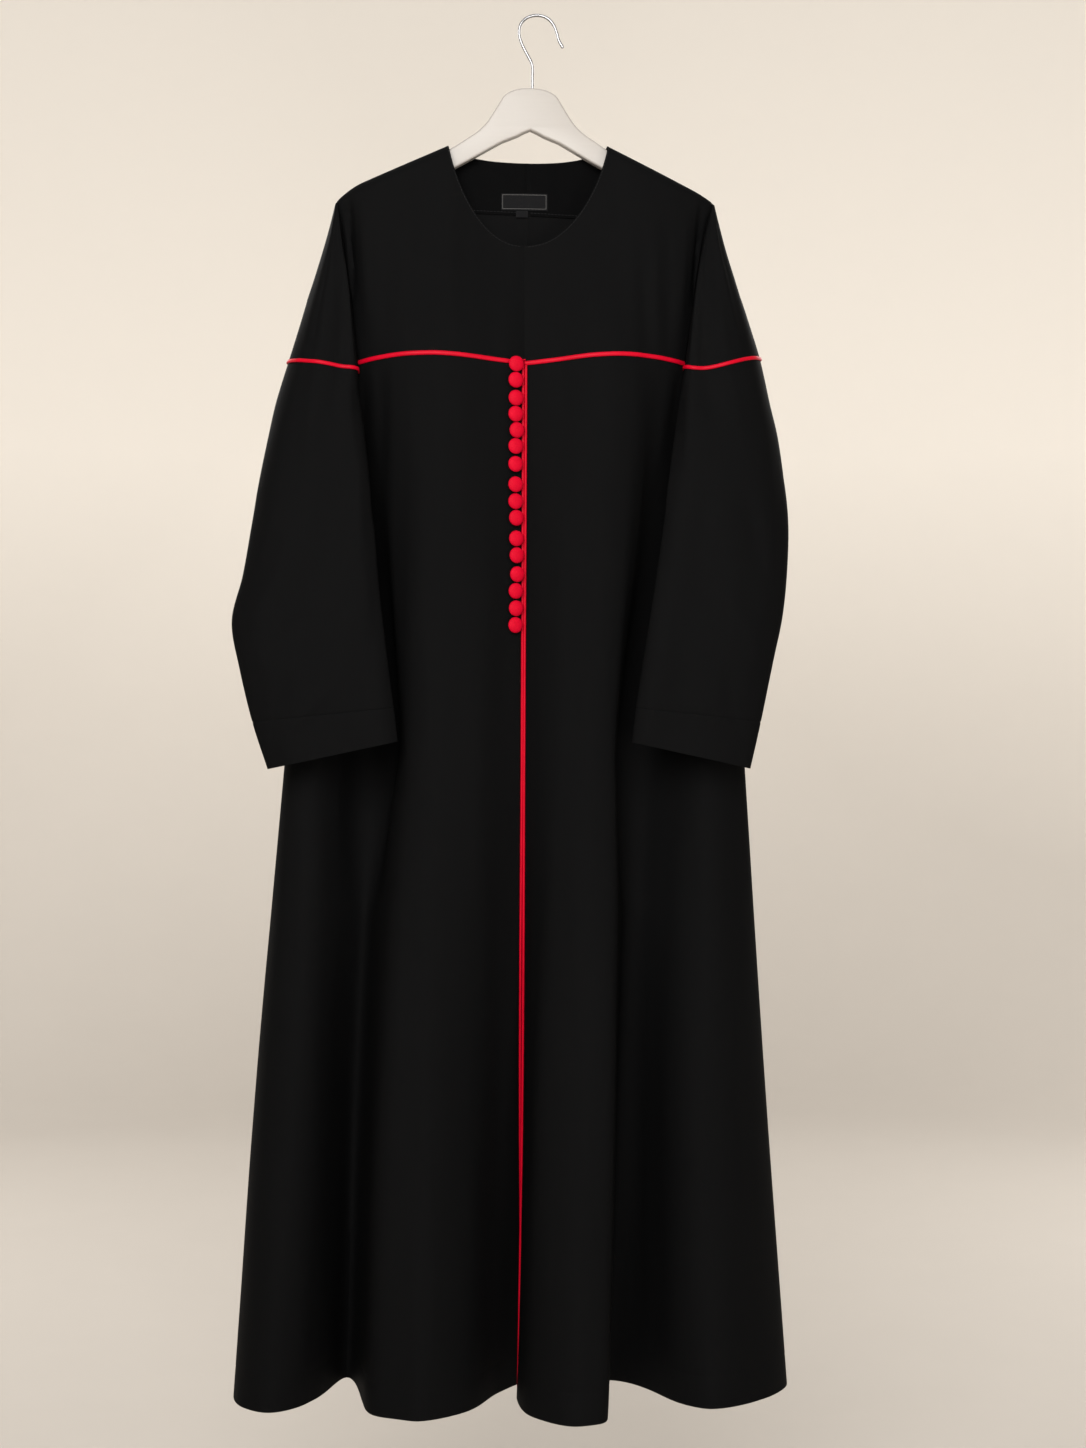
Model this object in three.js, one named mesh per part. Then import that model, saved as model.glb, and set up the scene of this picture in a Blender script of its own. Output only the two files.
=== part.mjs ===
// A long open-front blazer abaya in black crepe, hung on a flat wooden hanger by its wire hook.
// The cut: two front yokes over two long fronts, two long backs, sleeves cut across by the chest seam,
// deep cuffs, a back neck facing with its label, and red piping, covered buttons and button loops.
// Millimetres, +Z up, the front faces -Y, and "left" and "right" are the wearer's.
// The origin is the inner top of the hook, where a peg or rail carries the hanger.
import * as THREE from 'three';

// Cloth
const wall = 1.4;                // crepe with its turnings
const thinWall = 1.0;            // facing and labels
const seam = 0.3;                // between pieces at a seam
const sleeveSeam = 1.1;          // between a sleeve and its armhole

// Body: heights of the seams and edges
const chestZ = -376;             // chest seam at the front opening and at the armholes
const chestRise = 7;             // how much that seam lifts over the bust
const underarmZ = -450;
const hemZ = -1484;
const openingX = -16;            // the line where the two fronts meet
const backSeamX = -11;           // centre back seam

// Shoulders and neck, measured from the hanger's centre line
const centreX = -8.5;
const ridgeZ = -139.5;           // shoulder ridge, 85 mm out
const ridgeReach = 85;
const ridgeRound = 12;           // depth below the ridge at which front and back stand fully apart
const frontNeckDrop = 110;
const backNeckDrop = 15;
const neckSides = 2.2;           // exponents of the neckline's rounded curve
const neckFloor = 0.75;

// The two sides differ a little, as the garment hangs on its hanger; "fall" is the shoulder's drop
// for each millimetre outwards.
const sides = {
  left: { out: 1, neckHalf: 82.5, tip: 197, fall: 0.488, droopFrom: 175, droop: 0.016 },
  right: { out: -1, neckHalf: 88, tip: 206, fall: 0.447, droopFrom: 178, droop: 0.0128 },
};

// One row for each fold line of the body, in order from the front opening round the wearer's left side,
// the back and the right side, with the line's [x, y] at each height.
const heights = { shoulder: -150, yoke: -250, chest: -376, cuff: -800, knee: -1140, hem: hemZ };
const shoulderDepth = 0.72;      // the shoulder level's depth as a share of the yoke's
const foldColumns = ['line', 'yoke', 'chest', 'cuff', 'knee', 'hem'];
const foldRows = [
  ['left opening', [-16, -17], [-16, -24], [-17, -15], [-16, 6], [-19, 30]],
  ['left lap', [8, -19], [6, -30], [1, -32], [-11.5, -22], [-23, 0]],
  ['left rise', [36, -22], [38, -38], [22, -46], [-1, -52], [-12, -54]],
  ['left crest', [66, -25], [72, -42], [52, -51], [34, -72], [30, -91]],
  ['left turn', [92, -26], [98, -39], [79, -44], [68, -66], [62, -80]],
  ['left wall', [112, -25], [116, -32], [90, -20], [76, -12], [65, -16]],
  ['left valley', [130, -23], [134, -25], [106, 6], [92, 36], [80, 62]],
  ['left slope', [148, -20], [153, -20], [140, 6], [127, 18], [122, 26]],
  ['left side crest', [166, -15], [173, -14], [182, -7], [174, -28], [179, -44]],
  ['left hip', [183, -8], [189, -7], [210, 0], [224, -10], [240, -16]],
  ['left side seam', [193, 0], [197, 0], [226, 14], [250, 26], [277, 36]],
  ['left back side', [184, 11], [188, 14], [214, 30], [238, 50], [262, 78]],
  ['left back crest', [140, 18], [146, 24], [160, 44], [172, 74], [186, 108]],
  ['left back valley', [70, 19], [74, 26], [80, 38], [84, 58], [88, 84]],
  ['back centre', [-11, 17], [-11, 24], [-11, 43], [-12, 73], [-14, 106]],
  ['right back valley', [-94, 19], [-98, 26], [-108, 38], [-120, 58], [-132, 84]],
  ['right back crest', [-168, 18], [-178, 24], [-200, 44], [-216, 74], [-232, 110]],
  ['right back side', [-216, 11], [-225, 14], [-257, 30], [-285, 50], [-311, 80]],
  ['right side seam', [-226, 0], [-236, 0], [-271, 14], [-301.5, 26], [-327, 37]],
  ['right hip', [-216, -8], [-226, -7], [-262, -1], [-290, -10], [-314, -6]],
  ['right side crest', [-198, -15], [-207, -14], [-240, -8], [-262, -22], [-284, -24]],
  ['right slope', [-180, -20], [-188, -20], [-208, 4], [-230, 4], [-239, 18]],
  ['right valley', [-162, -23], [-170, -25], [-178, 18], [-195, 52], [-206, 93]],
  ['right wall', [-144, -25], [-153, -31], [-157, -8], [-171, 0], [-183, 8]],
  ['right turn', [-124, -26], [-133, -38], [-138, -36], [-153, -44], [-167, -36]],
  ['right crest', [-97, -26], [-104, -42], [-110, -46], [-124, -58], [-130, -63]],
  ['right fall', [-66, -23], [-68, -38], [-68, -40], [-78, -40], [-78, -36]],
  ['right lap', [-40, -19], [-40, -31], [-40, -26], [-44, -8], [-44, 22]],
  ['right opening', [-16, -17], [-16, -24], [-17, -15], [-17.5, 14], [-13, 62]],
];
const folds = foldRows.map((row) => Object.fromEntries(row.map((value, k) => [foldColumns[k], value])));

// Armhole edges: how far out the seam lies at each height, on the front and on the back.
const armholes = {
  left: [
    { z: -203, front: 188.5, back: 188.5 }, { z: -250, front: 177, back: 184 },
    { z: -324, front: 165, back: 175 }, { z: chestZ, front: 157, back: 172 },
    { z: -410, front: 163, back: 176 }, { z: -435, front: 179, back: 187 },
    { z: underarmZ, front: 201, back: 201 },
  ],
  right: [
    { z: -203, front: -214.5, back: -214.5 }, { z: -250, front: -210, back: -212 },
    { z: -324, front: -200, back: -208 }, { z: chestZ, front: -195, back: -208 },
    { z: -410, front: -201, back: -214 }, { z: -435, front: -218, back: -228 },
    { z: underarmZ, front: -242, back: -242 },
  ],
};

// One row for each ring of a sleeve, from the shoulder tip to the cuff: the outer and inner folds as [x, z],
// the depths of the front and back layers and of the outer fold, and below the armhole the x of the
// underarm seam.
const sleeveRings = {
  left: [
    { outer: [190.5, -206], inner: [188, -206], front: -7, back: 7, edge: 0 },
    { outer: [201, -243], inner: [178.6, -243], front: -18, back: 14, edge: -1 },
    { outer: [213.5, -283], inner: [171.4, -283], front: -25, back: 18, edge: -2 },
    { outer: [226.5, -326], inner: [164.7, -326], front: -31, back: 20, edge: -3 },
    { outer: [238.5, -372], inner: [156.5, -382], front: -37, back: 20, edge: -5 },
    { outer: [249, -415], inner: [148, -415], front: -44, back: 15, edge: -10 },
    { outer: [257, -452], inner: [142, -451], front: -50, back: 5, edge: -16, seamX: 202.5 },
    { outer: [262, -497], inner: [136, -497], front: -55, back: -13, edge: -24, seamX: 198 },
    { outer: [265, -545], inner: [129, -550], front: -59, back: -21, edge: -32, seamX: 194 },
    { outer: [263, -595], inner: [121, -605], front: -62, back: -25, edge: -38, seamX: 189 },
    { outer: [257.5, -645], inner: [113, -655], front: -64, back: -28, edge: -42, seamX: 183 },
    { outer: [247.5, -692], inner: [106, -697], front: -65, back: -30, edge: -45, seamX: 176 },
    { outer: [233.5, -757], inner: [99, -742], front: -64, back: -32, edge: -47, seamX: 168 },
    { outer: [222, -806], inner: [95, -778], front: -63, back: -34, edge: -48, seamX: 160 },
  ],
  right: [
    { outer: [-216.5, -206], inner: [-214, -206], front: -7, back: 7, edge: 0 },
    { outer: [-226, -243], inner: [-210.6, -243], front: -18, back: 14, edge: -1 },
    { outer: [-238, -283], inner: [-205.6, -283], front: -25, back: 18, edge: -2 },
    { outer: [-252, -326], inner: [-199.7, -326], front: -31, back: 20, edge: -3 },
    { outer: [-267, -377], inner: [-194.4, -383], front: -37, back: 20, edge: -5 },
    { outer: [-278, -415], inner: [-189, -415], front: -44, back: 15, edge: -10 },
    { outer: [-285.5, -452], inner: [-185, -451], front: -50, back: 5, edge: -16, seamX: -243.5 },
    { outer: [-295, -500], inner: [-180, -500], front: -54, back: -13, edge: -24, seamX: -239 },
    { outer: [-303.5, -550], inner: [-175, -552], front: -58, back: -20, edge: -30, seamX: -236 },
    { outer: [-312.5, -603], inner: [-170, -610], front: -61, back: -23, edge: -36, seamX: -232 },
    { outer: [-321, -653], inner: [-164, -665], front: -63, back: -25, edge: -40, seamX: -228 },
    { outer: [-315.5, -700], inner: [-159, -706], front: -64, back: -27, edge: -43, seamX: -223 },
    { outer: [-302, -757], inner: [-154, -742], front: -63, back: -29, edge: -45, seamX: -218 },
    { outer: [-286, -806], inner: [-150, -777], front: -62, back: -31, edge: -46, seamX: -212 },
  ],
};
const chestRing = 4;             // the ring where the sleeve is cut across
const underarmRing = 6;
const underarmY = -2;             // depth of the sleeve's seam at the underarm
const cuffRing = 12;
const lastRing = 13;

// Piping, buttons and loops
const pipeHalfWidth = 2.4;
const pipeHalfHeight = 1.5;
const edgePipeRadius = 1.4;
const edgePipeInset = 1.6;       // from the opening line to the piping's centre
const frontInset = 3.35;         // from the opening line to the front's own edge
const buttonRadius = 8.4;
const buttonX = -27.3;
const buttonDomeHeight = 5.2;
const shankRadius = 1.7;
const shankHeight = 3.6;
const loopRadius = 0.85;
const loopHeight = 2.5;          // its centre above the cloth
const loopSpread = 5.6;          // half the distance between a loop's two ends
// Each button's drop below the chest seam and its own small sideways shift
const buttons = [
  { drop: 1.8, shift: 0.5 }, { drop: 18.9, shift: 0 }, { drop: 37.9, shift: 0 },
  { drop: 54.9, shift: -0.3 }, { drop: 71.9, shift: 0.9 }, { drop: 88.9, shift: -0.4 },
  { drop: 107.8, shift: -0.5 }, { drop: 129.3, shift: -0.5 }, { drop: 147.2, shift: -0.5 },
  { drop: 164.6, shift: 0.3 }, { drop: 186.4, shift: 0.3 }, { drop: 204.2, shift: 0.8 },
  { drop: 224.2, shift: 1.3 }, { drop: 241.9, shift: -0.3 }, { drop: 260.2, shift: 0 },
  { drop: 277.9, shift: -0.6 },
];

// Back neck facing and labels
const facingHalf = 98;
const facingZ = -208;
const facingGap = 0.7;           // from the back's inside to the facing
const label = { x: -14, z: -197.5, width: 50, height: 18 };
const sizeTab = { x: -14, z: -210.5, width: 13, height: 7 };

// Hanger
const boardHalf = 5.6;            // half the board's thickness
const boardClearance = 4.2;      // from the arm's top up to the cloth's ridge
const armEnd = 174;
const armHeight = 23;
const wireRadius = 1.6;

const black = new THREE.MeshStandardMaterial({ color: 0x151515, roughness: 0.85, metalness: 0 });
const labelBlack = new THREE.MeshStandardMaterial({ color: 0x1c1c1e, roughness: 0.5, metalness: 0 });
const red = new THREE.MeshStandardMaterial({ color: 0xe01030, roughness: 0.55, metalness: 0 });
const whiteWood = new THREE.MeshStandardMaterial({ color: 0xefe9e2, roughness: 0.5, metalness: 0 });
const steel = new THREE.MeshStandardMaterial({ color: 0xc8c9cc, roughness: 0.2, metalness: 1 });

const garment = new THREE.Group();

function add(name, geometry, material) {
  const mesh = new THREE.Mesh(geometry, material);
  mesh.name = name;
  garment.add(mesh);
  return mesh;
}

// Smooth curve through values given at knots, which may run downwards.
function smooth(knots, values, at) {
  const last = knots.length - 1;
  let i = 0;
  while (i < last - 1 && (at - knots[i + 1]) * (knots[last] - knots[0]) > 0) i++;
  const slope = (k) => {
    const a = Math.max(k - 1, 0);
    const b = Math.min(k + 1, last);
    return (values[b] - values[a]) / (knots[b] - knots[a]);
  };
  const step = knots[i + 1] - knots[i];
  const u = Math.min(Math.max((at - knots[i]) / step, 0), 1);
  const uu = u * u;
  const uuu = uu * u;
  return values[i] * (2 * uuu - 3 * uu + 1) + slope(i) * step * (uuu - 2 * uu + u)
    + values[i + 1] * (3 * uu - 2 * uuu) + slope(i + 1) * step * (uuu - uu);
}

// Body surface
const heightNames = ['yoke', 'chest', 'cuff', 'knee', 'hem'];
const heightKnots = [heights.shoulder, ...heightNames.map((name) => heights[name])];
const foldCurves = folds.map((fold) => ({
  x: [fold.yoke[0], ...heightNames.map((name) => fold[name][0])],
  y: [fold.yoke[1] * shoulderDepth, ...heightNames.map((name) => fold[name][1])],
}));
const lineIndex = (name) => folds.findIndex((fold) => fold.line === name);
const lastLine = folds.length - 1;
const leftSide = lineIndex('left side seam');
const rightSide = lineIndex('right side seam');
const backCentre = lineIndex('back centre');
const sections = new Map();

function section(z) {
  if (!sections.has(z)) {
    const points = foldCurves.map((curve) => new THREE.Vector3(
      smooth(heightKnots, curve.x, z), smooth(heightKnots, curve.y, z), 0));
    sections.set(z, new THREE.CatmullRomCurve3(points, false, 'centripetal'));
  }
  return sections.get(z);
}

// Height of the shoulder ridge over a point x, carried on across the neck.
function ridge(x) {
  const side = x > centreX ? sides.left : sides.right;
  const out = Math.abs(x - centreX);
  return ridgeZ - side.fall * (out - ridgeReach) - side.droop * Math.max(0, out - side.droopFrom) ** 2;
}

// A point of the body's outer face: t counts fold lines round the body, z is the height.
function bodyPoint(t, z) {
  const flat = section(z).getPoint(Math.min(Math.max(t / lastLine, 0), 1));
  const below = Math.min(Math.max((ridge(flat.x) - z) / ridgeRound, 0), 1);
  return new THREE.Vector3(flat.x, flat.y * Math.sqrt(1 - (1 - below) ** 2), z);
}

function bodyNormal(t, z) {
  const step = 0.02;
  const drop = 0.1;
  const along = bodyPoint(Math.min(t + step, lastLine), z).sub(bodyPoint(Math.max(t - step, 0), z));
  const up = bodyPoint(t, z).sub(bodyPoint(t, z - drop));
  return along.cross(up).normalize();
}

// The t between two fold lines where the body has a given x.
function lineAt(x, z, from, to) {
  const rising = bodyPoint(to, z).x > bodyPoint(from, z).x;
  let low = from;
  let high = to;
  for (let k = 0; k < 30; k++) {
    const middle = (low + high) / 2;
    if ((bodyPoint(middle, z).x < x) === rising) low = middle;
    else high = middle;
  }
  return (low + high) / 2;
}

// The t that lies a given distance along the body from t = start, going towards the end.
function lineAway(start, end, distance, z) {
  const origin = bodyPoint(start, z);
  let low = start;
  let high = start + Math.sign(end - start) * 1.5;
  for (let k = 0; k < 30; k++) {
    const middle = (low + high) / 2;
    if (bodyPoint(middle, z).distanceTo(origin) < distance) low = middle;
    else high = middle;
  }
  return (low + high) / 2;
}

const frontRange = { left: [0, leftSide], right: [lastLine, rightSide] };
const backRange = { left: [backCentre, leftSide], right: [backCentre, rightSide] };

function armhole(side, face, z) {
  const rows = armholes[side];
  return smooth(rows.map((row) => row.z), rows.map((row) => row[face]), z);
}

// Chest seam height over a point x, lifted over the bust.
function chestSeam(side, x) {
  const end = armholes[side].find((row) => row.z === chestZ).front;
  const share = Math.min(Math.max((x - openingX) / (end - openingX), 0), 1);
  return chestZ + chestRise * Math.sin(Math.PI * share ** 1.25);
}

// Sheets and cords
const triangles = () => ({ position: [] });

function quad(mesh, a, b, c, d) {
  for (const p of [a, b, c, a, c, d]) mesh.position.push(p.x, p.y, p.z);
}

function finished(mesh) {
  const geometry = new THREE.BufferGeometry();
  geometry.setAttribute('position', new THREE.Float32BufferAttribute(mesh.position, 3));
  geometry.computeVertexNormals();
  return geometry;
}

// A cloth wall from a grid of outer points and their outward normals. Rows run down and columns run so that
// column direction x upward direction points out. Columns may close on themselves from a given row down.
function sheet(grid, thickness, closedFrom = Infinity) {
  const mesh = triangles();
  const outer = grid.map((row) => row.map((cell) => cell.point));
  const inward = (cell) => cell.point.clone().addScaledVector(cell.normal, -thickness);
  const inner = grid.map((row) => row.map(inward));
  const rows = grid.length;
  const columns = grid[0].length;
  for (let i = closedFrom; i < rows; i++) {
    outer[i][columns - 1] = outer[i][0];
    inner[i][columns - 1] = inner[i][0];
  }
  for (let i = 0; i + 1 < rows; i++) {
    for (let j = 0; j + 1 < columns; j++) {
      quad(mesh, outer[i + 1][j], outer[i + 1][j + 1], outer[i][j + 1], outer[i][j]);
      quad(mesh, inner[i][j], inner[i][j + 1], inner[i + 1][j + 1], inner[i + 1][j]);
    }
    if (i < closedFrom) {
      const k = columns - 1;
      quad(mesh, inner[i][0], inner[i + 1][0], outer[i + 1][0], outer[i][0]);
      quad(mesh, outer[i][k], outer[i + 1][k], inner[i + 1][k], inner[i][k]);
    }
  }
  for (let j = 0; j + 1 < columns; j++) {
    const k = rows - 1;
    quad(mesh, outer[0][j], outer[0][j + 1], inner[0][j + 1], inner[0][j]);
    quad(mesh, inner[k][j], inner[k][j + 1], outer[k][j + 1], outer[k][j]);
  }
  return finished(mesh);
}

// A cord of oval section through points: at each point, "out" is the direction of the half height.
function cord(points, outs, halfWidth, halfHeight, sidesRound) {
  const mesh = triangles();
  const last = points.length - 1;
  const rings = points.map((point, i) => {
    const along = points[Math.min(i + 1, last)].clone().sub(points[Math.max(i - 1, 0)]).normalize();
    const out = outs[i].clone().addScaledVector(along, -outs[i].dot(along)).normalize();
    const across = out.clone().cross(along);
    return Array.from({ length: sidesRound }, (_, k) => {
      const angle = (2 * Math.PI * k) / sidesRound;
      return point.clone().addScaledVector(across, halfWidth * Math.cos(angle))
        .addScaledVector(out, halfHeight * Math.sin(angle));
    });
  });
  for (let i = 0; i < last; i++) {
    for (let k = 0; k < sidesRound; k++) {
      const next = (k + 1) % sidesRound;
      quad(mesh, rings[i][k], rings[i][next], rings[i + 1][next], rings[i + 1][k]);
    }
  }
  for (let k = 1; k + 1 < sidesRound; k++) {
    for (const p of [rings[0][0], rings[0][k + 1], rings[0][k]]) mesh.position.push(p.x, p.y, p.z);
    for (const p of [rings[last][0], rings[last][k], rings[last][k + 1]]) mesh.position.push(p.x, p.y, p.z);
  }
  return finished(mesh);
}

const cellAt = (t, z) => ({ point: bodyPoint(t, z), normal: bodyNormal(t, z) });

// Grids are made from the wearer's right to left on the front, so the right-hand ones are turned round.
function facingOut(grid, turned) {
  return turned ? grid.map((row) => [...row].reverse()) : grid;
}

// Long fronts
const frontDrops = [
  0, 15, 30, 46, 60, 74, 112, 165, 230, 305, 390, 475, 560, 650, 740, 830, 920, 1000, 1060, 1108,
];
const frontColumns = 20;
const steadyColumns = 11;        // those nearest the opening keep to their fold lines past the armhole

function longFront(side) {
  const [opening, sideSeam] = frontRange[side];
  const underarmDrop = chestZ - underarmZ;
  const grid = frontDrops.map((drop) => {
    const level = chestZ - drop;
    const edge = lineAway(opening, sideSeam, frontInset, level);
    const limit = drop < underarmDrop
      ? lineAt(armhole(side, 'front', level), level, opening, sideSeam)
      : lineAway(sideSeam, opening, seam / 2, level);
    const row = [];
    for (let j = 0; j <= frontColumns; j++) {
      const steady = edge + ((sideSeam - edge) * Math.min(j, steadyColumns)) / frontColumns;
      const past = Math.max(j - steadyColumns, 0) / (frontColumns - steadyColumns);
      const t = steady + (limit - steady) * past;
      const lift = chestSeam(side, bodyPoint(t, level).x) - chestZ;
      const z = level + lift * Math.max(0, 1 - drop / underarmDrop) - (drop === 0 ? seam / 2 : 0);
      row.push(cellAt(t, z));
    }
    return row;
  });
  return sheet(facingOut(grid, side === 'right'), wall);
}

// Height at a neckline: "deep" runs from 0 on the shoulder to 1 at the centre, where both sides meet.
function neckHeight(side, drop, deep) {
  const { neckHalf, out } = sides[side];
  const top = ridge(centreX + out * neckHalf);
  return top - (top - ridgeZ + drop) * deep;
}

function neckline(side, x, drop) {
  const share = Math.min(Math.abs(x - centreX) / sides[side].neckHalf, 1);
  return neckHeight(side, drop, (1 - share ** neckSides) ** neckFloor);
}

// Front yokes: ruled from the neckline and shoulder down to the chest seam.
const yokeRows = [0, 0.006, 0.025, 0.06, 0.13, 0.3, 0.52, 0.76, 1];
const neckColumns = 8;
const shoulderColumns = 7;

function frontYoke(side) {
  const { out, neckHalf, tip } = sides[side];
  const [opening, sideSeam] = frontRange[side];
  const columns = neckColumns + shoulderColumns;
  const grid = yokeRows.map((share) => {
    const row = [];
    for (let j = 0; j <= columns; j++) {
      let topX;
      let topZ;
      if (j <= neckColumns) {
        const turn = (Math.PI / 2) * (j / neckColumns);
        const spread = Math.sin(turn) ** (2 / neckSides);
        topX = openingX + (centreX + out * neckHalf - openingX) * spread;
        topZ = neckHeight(side, frontNeckDrop, Math.cos(turn) ** (2 * neckFloor));
      } else {
        const k = (j - neckColumns) / shoulderColumns;
        topX = centreX + out * (neckHalf + (tip - neckHalf) * k);
        topZ = ridge(topX);
      }
      const k = j / columns;
      const bottomX = openingX + (armhole(side, 'front', chestZ) - openingX) * k;
      const bottomZ = chestSeam(side, bottomX) + seam / 2;
      const z = topZ + (bottomZ - topZ) * share;
      let x = topX + (bottomX - topX) * share;
      if (j === columns) x = armhole(side, 'front', z);
      if (j === 0) x = openingX + out * (seam / 2);
      row.push(cellAt(lineAt(x, z, opening, sideSeam), z));
    }
    return row;
  });
  for (let j = neckColumns; j <= columns; j++) seatOnRidge(grid[0][j], -1);
  return sheet(facingOut(grid, side === 'right'), wall);
}

// Puts a top-edge point half a seam off the ridge line, with its normal square to the ridge.
function seatOnRidge(cell, towards) {
  const slope = (ridge(cell.point.x + 1) - ridge(cell.point.x - 1)) / 2;
  cell.point.y = (towards * seam) / 2;
  cell.normal = new THREE.Vector3(-slope, 0, 1).normalize();
}

// Long backs, from the back neck and shoulder to the hem.
const backTopRows = [0, 0.005, 0.02, 0.05, 0.12, 0.3, 0.5, 0.7, 0.82, 0.91, 1];
const backDrops = [50, 130, 230, 340, 460, 590, 720, 850, 960, 1034];
const backNeckSpread = [0, 0.3, 0.58, 0.8, 0.93, 1];
const backNeckColumns = backNeckSpread.length - 1;
const backShoulderColumns = 7;

function longBack(side) {
  const { out, neckHalf, tip } = sides[side];
  const [centre, sideSeam] = backRange[side];
  const columns = backNeckColumns + backShoulderColumns;
  const tipX = centreX + out * tip;
  const neckX = centreX + out * neckHalf;
  const topX = (j) => (j <= backNeckColumns
    ? backSeamX + (neckX - backSeamX) * backNeckSpread[j]
    : neckX + ((tipX - neckX) * (j - backNeckColumns)) / backShoulderColumns);
  const grid = backTopRows.map((share) => {
    const row = [];
    for (let j = 0; j <= columns; j++) {
      const x0 = topX(j);
      const topZ = j < backNeckColumns ? neckline(side, x0, backNeckDrop) : ridge(x0);
      const z = topZ + (underarmZ - topZ) * share;
      const width = armhole(side, 'back', z) - backSeamX;
      let x = backSeamX + (width * (x0 - backSeamX)) / (tipX - backSeamX);
      if (share === 0) x = x0;
      if (j === 0) x = backSeamX + out * (seam / 2);
      row.push(cellAt(lineAt(x, z, centre, sideSeam), z));
    }
    return row;
  });
  for (let j = backNeckColumns; j <= columns; j++) seatOnRidge(grid[0][j], 1);
  const lines = grid[grid.length - 1].map((cell, j) => lineAt(
    j === 0 ? backSeamX + out * (seam / 2) : cell.point.x, underarmZ, centre, sideSeam));
  for (const drop of backDrops) {
    const z = underarmZ - drop;
    const first = lineAway(centre, sideSeam, seam / 2, z);
    const end = lineAway(sideSeam, centre, seam / 2, z);
    grid.push(lines.map((t, j) => cellAt(j === 0 ? first : j === columns ? end : t, z)));
  }
  return sheet(facingOut(grid, side === 'left'), wall);
}

// Back neck facing, lying inside the back.
const facingRows = [0, 0.12, 0.35, 0.65, 1];
const facingColumns = 8;

function neckFacing(side) {
  const { out } = sides[side];
  const [centre, sideSeam] = backRange[side];
  const grid = facingRows.map((share) => {
    const row = [];
    for (let j = 0; j <= facingColumns; j++) {
      const k = j / facingColumns;
      const x = backSeamX + out * (seam / 2 + (facingHalf - seam / 2) * k);
      const topZ = Math.min(neckline(side, x, backNeckDrop) - 1.5, ridge(x) - ridgeRound - 4);
      const z = topZ + (facingZ - topZ) * share;
      const cell = cellAt(lineAt(x, z, centre, sideSeam), z);
      cell.point.addScaledVector(cell.normal, -wall - facingGap);
      row.push(cell);
    }
    return row;
  });
  return sheet(facingOut(grid, side === 'left'), thinWall);
}

// A small label on the facing: a strip of the back moved inwards by what lies behind it.
function neckTab({ x, z, width, height }, depth) {
  const columns = 6;
  const grid = [0.5, -0.5].map((rise) => {
    const row = [];
    for (let j = 0; j <= columns; j++) {
      const level = z + height * rise;
      const cell = cellAt(lineAt(x + width * (0.5 - j / columns), level, leftSide, rightSide), level);
      cell.point.addScaledVector(cell.normal, -depth);
      row.push(cell);
    }
    return row;
  });
  return sheet(grid, thinWall);
}

// Sleeve surface
function ringAt(side, at) {
  const rings = sleeveRings[side];
  const knots = rings.map((_, i) => i);
  const value = (pick) => smooth(knots, rings.map(pick), at);
  const seams = rings.slice(underarmRing);
  const seamKnots = seams.map((_, i) => i + underarmRing);
  const seamX = smooth(seamKnots, seams.map((r) => r.seamX), at);
  return {
    outerX: value((r) => r.outer[0]), outerZ: value((r) => r.outer[1]),
    innerX: value((r) => r.inner[0]), innerZ: value((r) => r.inner[1]),
    front: value((r) => r.front), back: value((r) => r.back), edge: value((r) => r.edge), seamX,
  };
}

const sleeveCurves = new Map();

// The closed or C-shaped curve of one ring: from the front armhole over the inner fold, the front layer,
// the outer fold and the back layer to the back armhole. Below the armhole both ends are the underarm seam.
function sleeveCurve(side, at) {
  const key = side + at.toFixed(4);
  if (sleeveCurves.has(key)) return sleeveCurves.get(key);
  const { out } = sides[side];
  const [opening, sideSeam] = frontRange[side];
  const [centre] = backRange[side];
  const ring = ringAt(side, at);
  const width = ring.outerX - ring.innerX;
  const level = (x) => ring.outerZ + ((ring.innerZ - ring.outerZ) * (ring.outerX - x)) / width;
  const place = (share, y) => new THREE.Vector3(
    ring.innerX + width * share, y, level(ring.innerX + width * share));
  let start;
  let end;
  if (at < underarmRing) {
    const seat = (face, from) => {
      const z = level(armhole(side, face, ring.innerZ));
      const x = armhole(side, face, Math.max(z, underarmZ));
      const point = bodyPoint(lineAt(x, z, from, sideSeam), z);
      const clear = face === 'front' ? [sleeveSeam, -0.4] : [sleeveSeam + 0.6, 0.9];
      return point.add(new THREE.Vector3(out * clear[0], clear[1], 0));
    };
    start = seat('front', opening);
    end = seat('back', centre);
  } else {
    const seamY = underarmY + (ring.back - underarmY) * Math.min(at - underarmRing, 1);
    start = new THREE.Vector3(ring.seamX, seamY, level(ring.seamX));
    end = start.clone();
  }
  const tuck = Math.min(Math.max((start.x - ring.innerX) * out, 0) / 12, 1);
  const between = (share) => start.y + (ring.front - start.y) * share;
  const inner = place(0, between(0.55));
  const points = [
    start,
    place(0.05, between(0.35)).lerp(start.clone().lerp(inner, 0.5).add(new THREE.Vector3(0, -3, 0)), tuck),
    place(0.1, between(0.6)).lerp(inner, tuck),
    place(0.2, between(0.94)),
    place(0.36, ring.front),
    place(0.62, ring.front),
    place(0.86, ring.front + (ring.edge - ring.front) * 0.3),
    place(1, ring.edge),
    place(0.86, ring.edge + (ring.back - ring.edge) * 0.75),
    place(1, ring.back).lerp(end, 0.55).setY(ring.back + (end.y - ring.back) * 0.4),
    end,
  ];
  const curve = new THREE.CatmullRomCurve3(points, false, 'centripetal');
  sleeveCurves.set(key, curve);
  return curve;
}

const sleeveColumns = 20;

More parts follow.
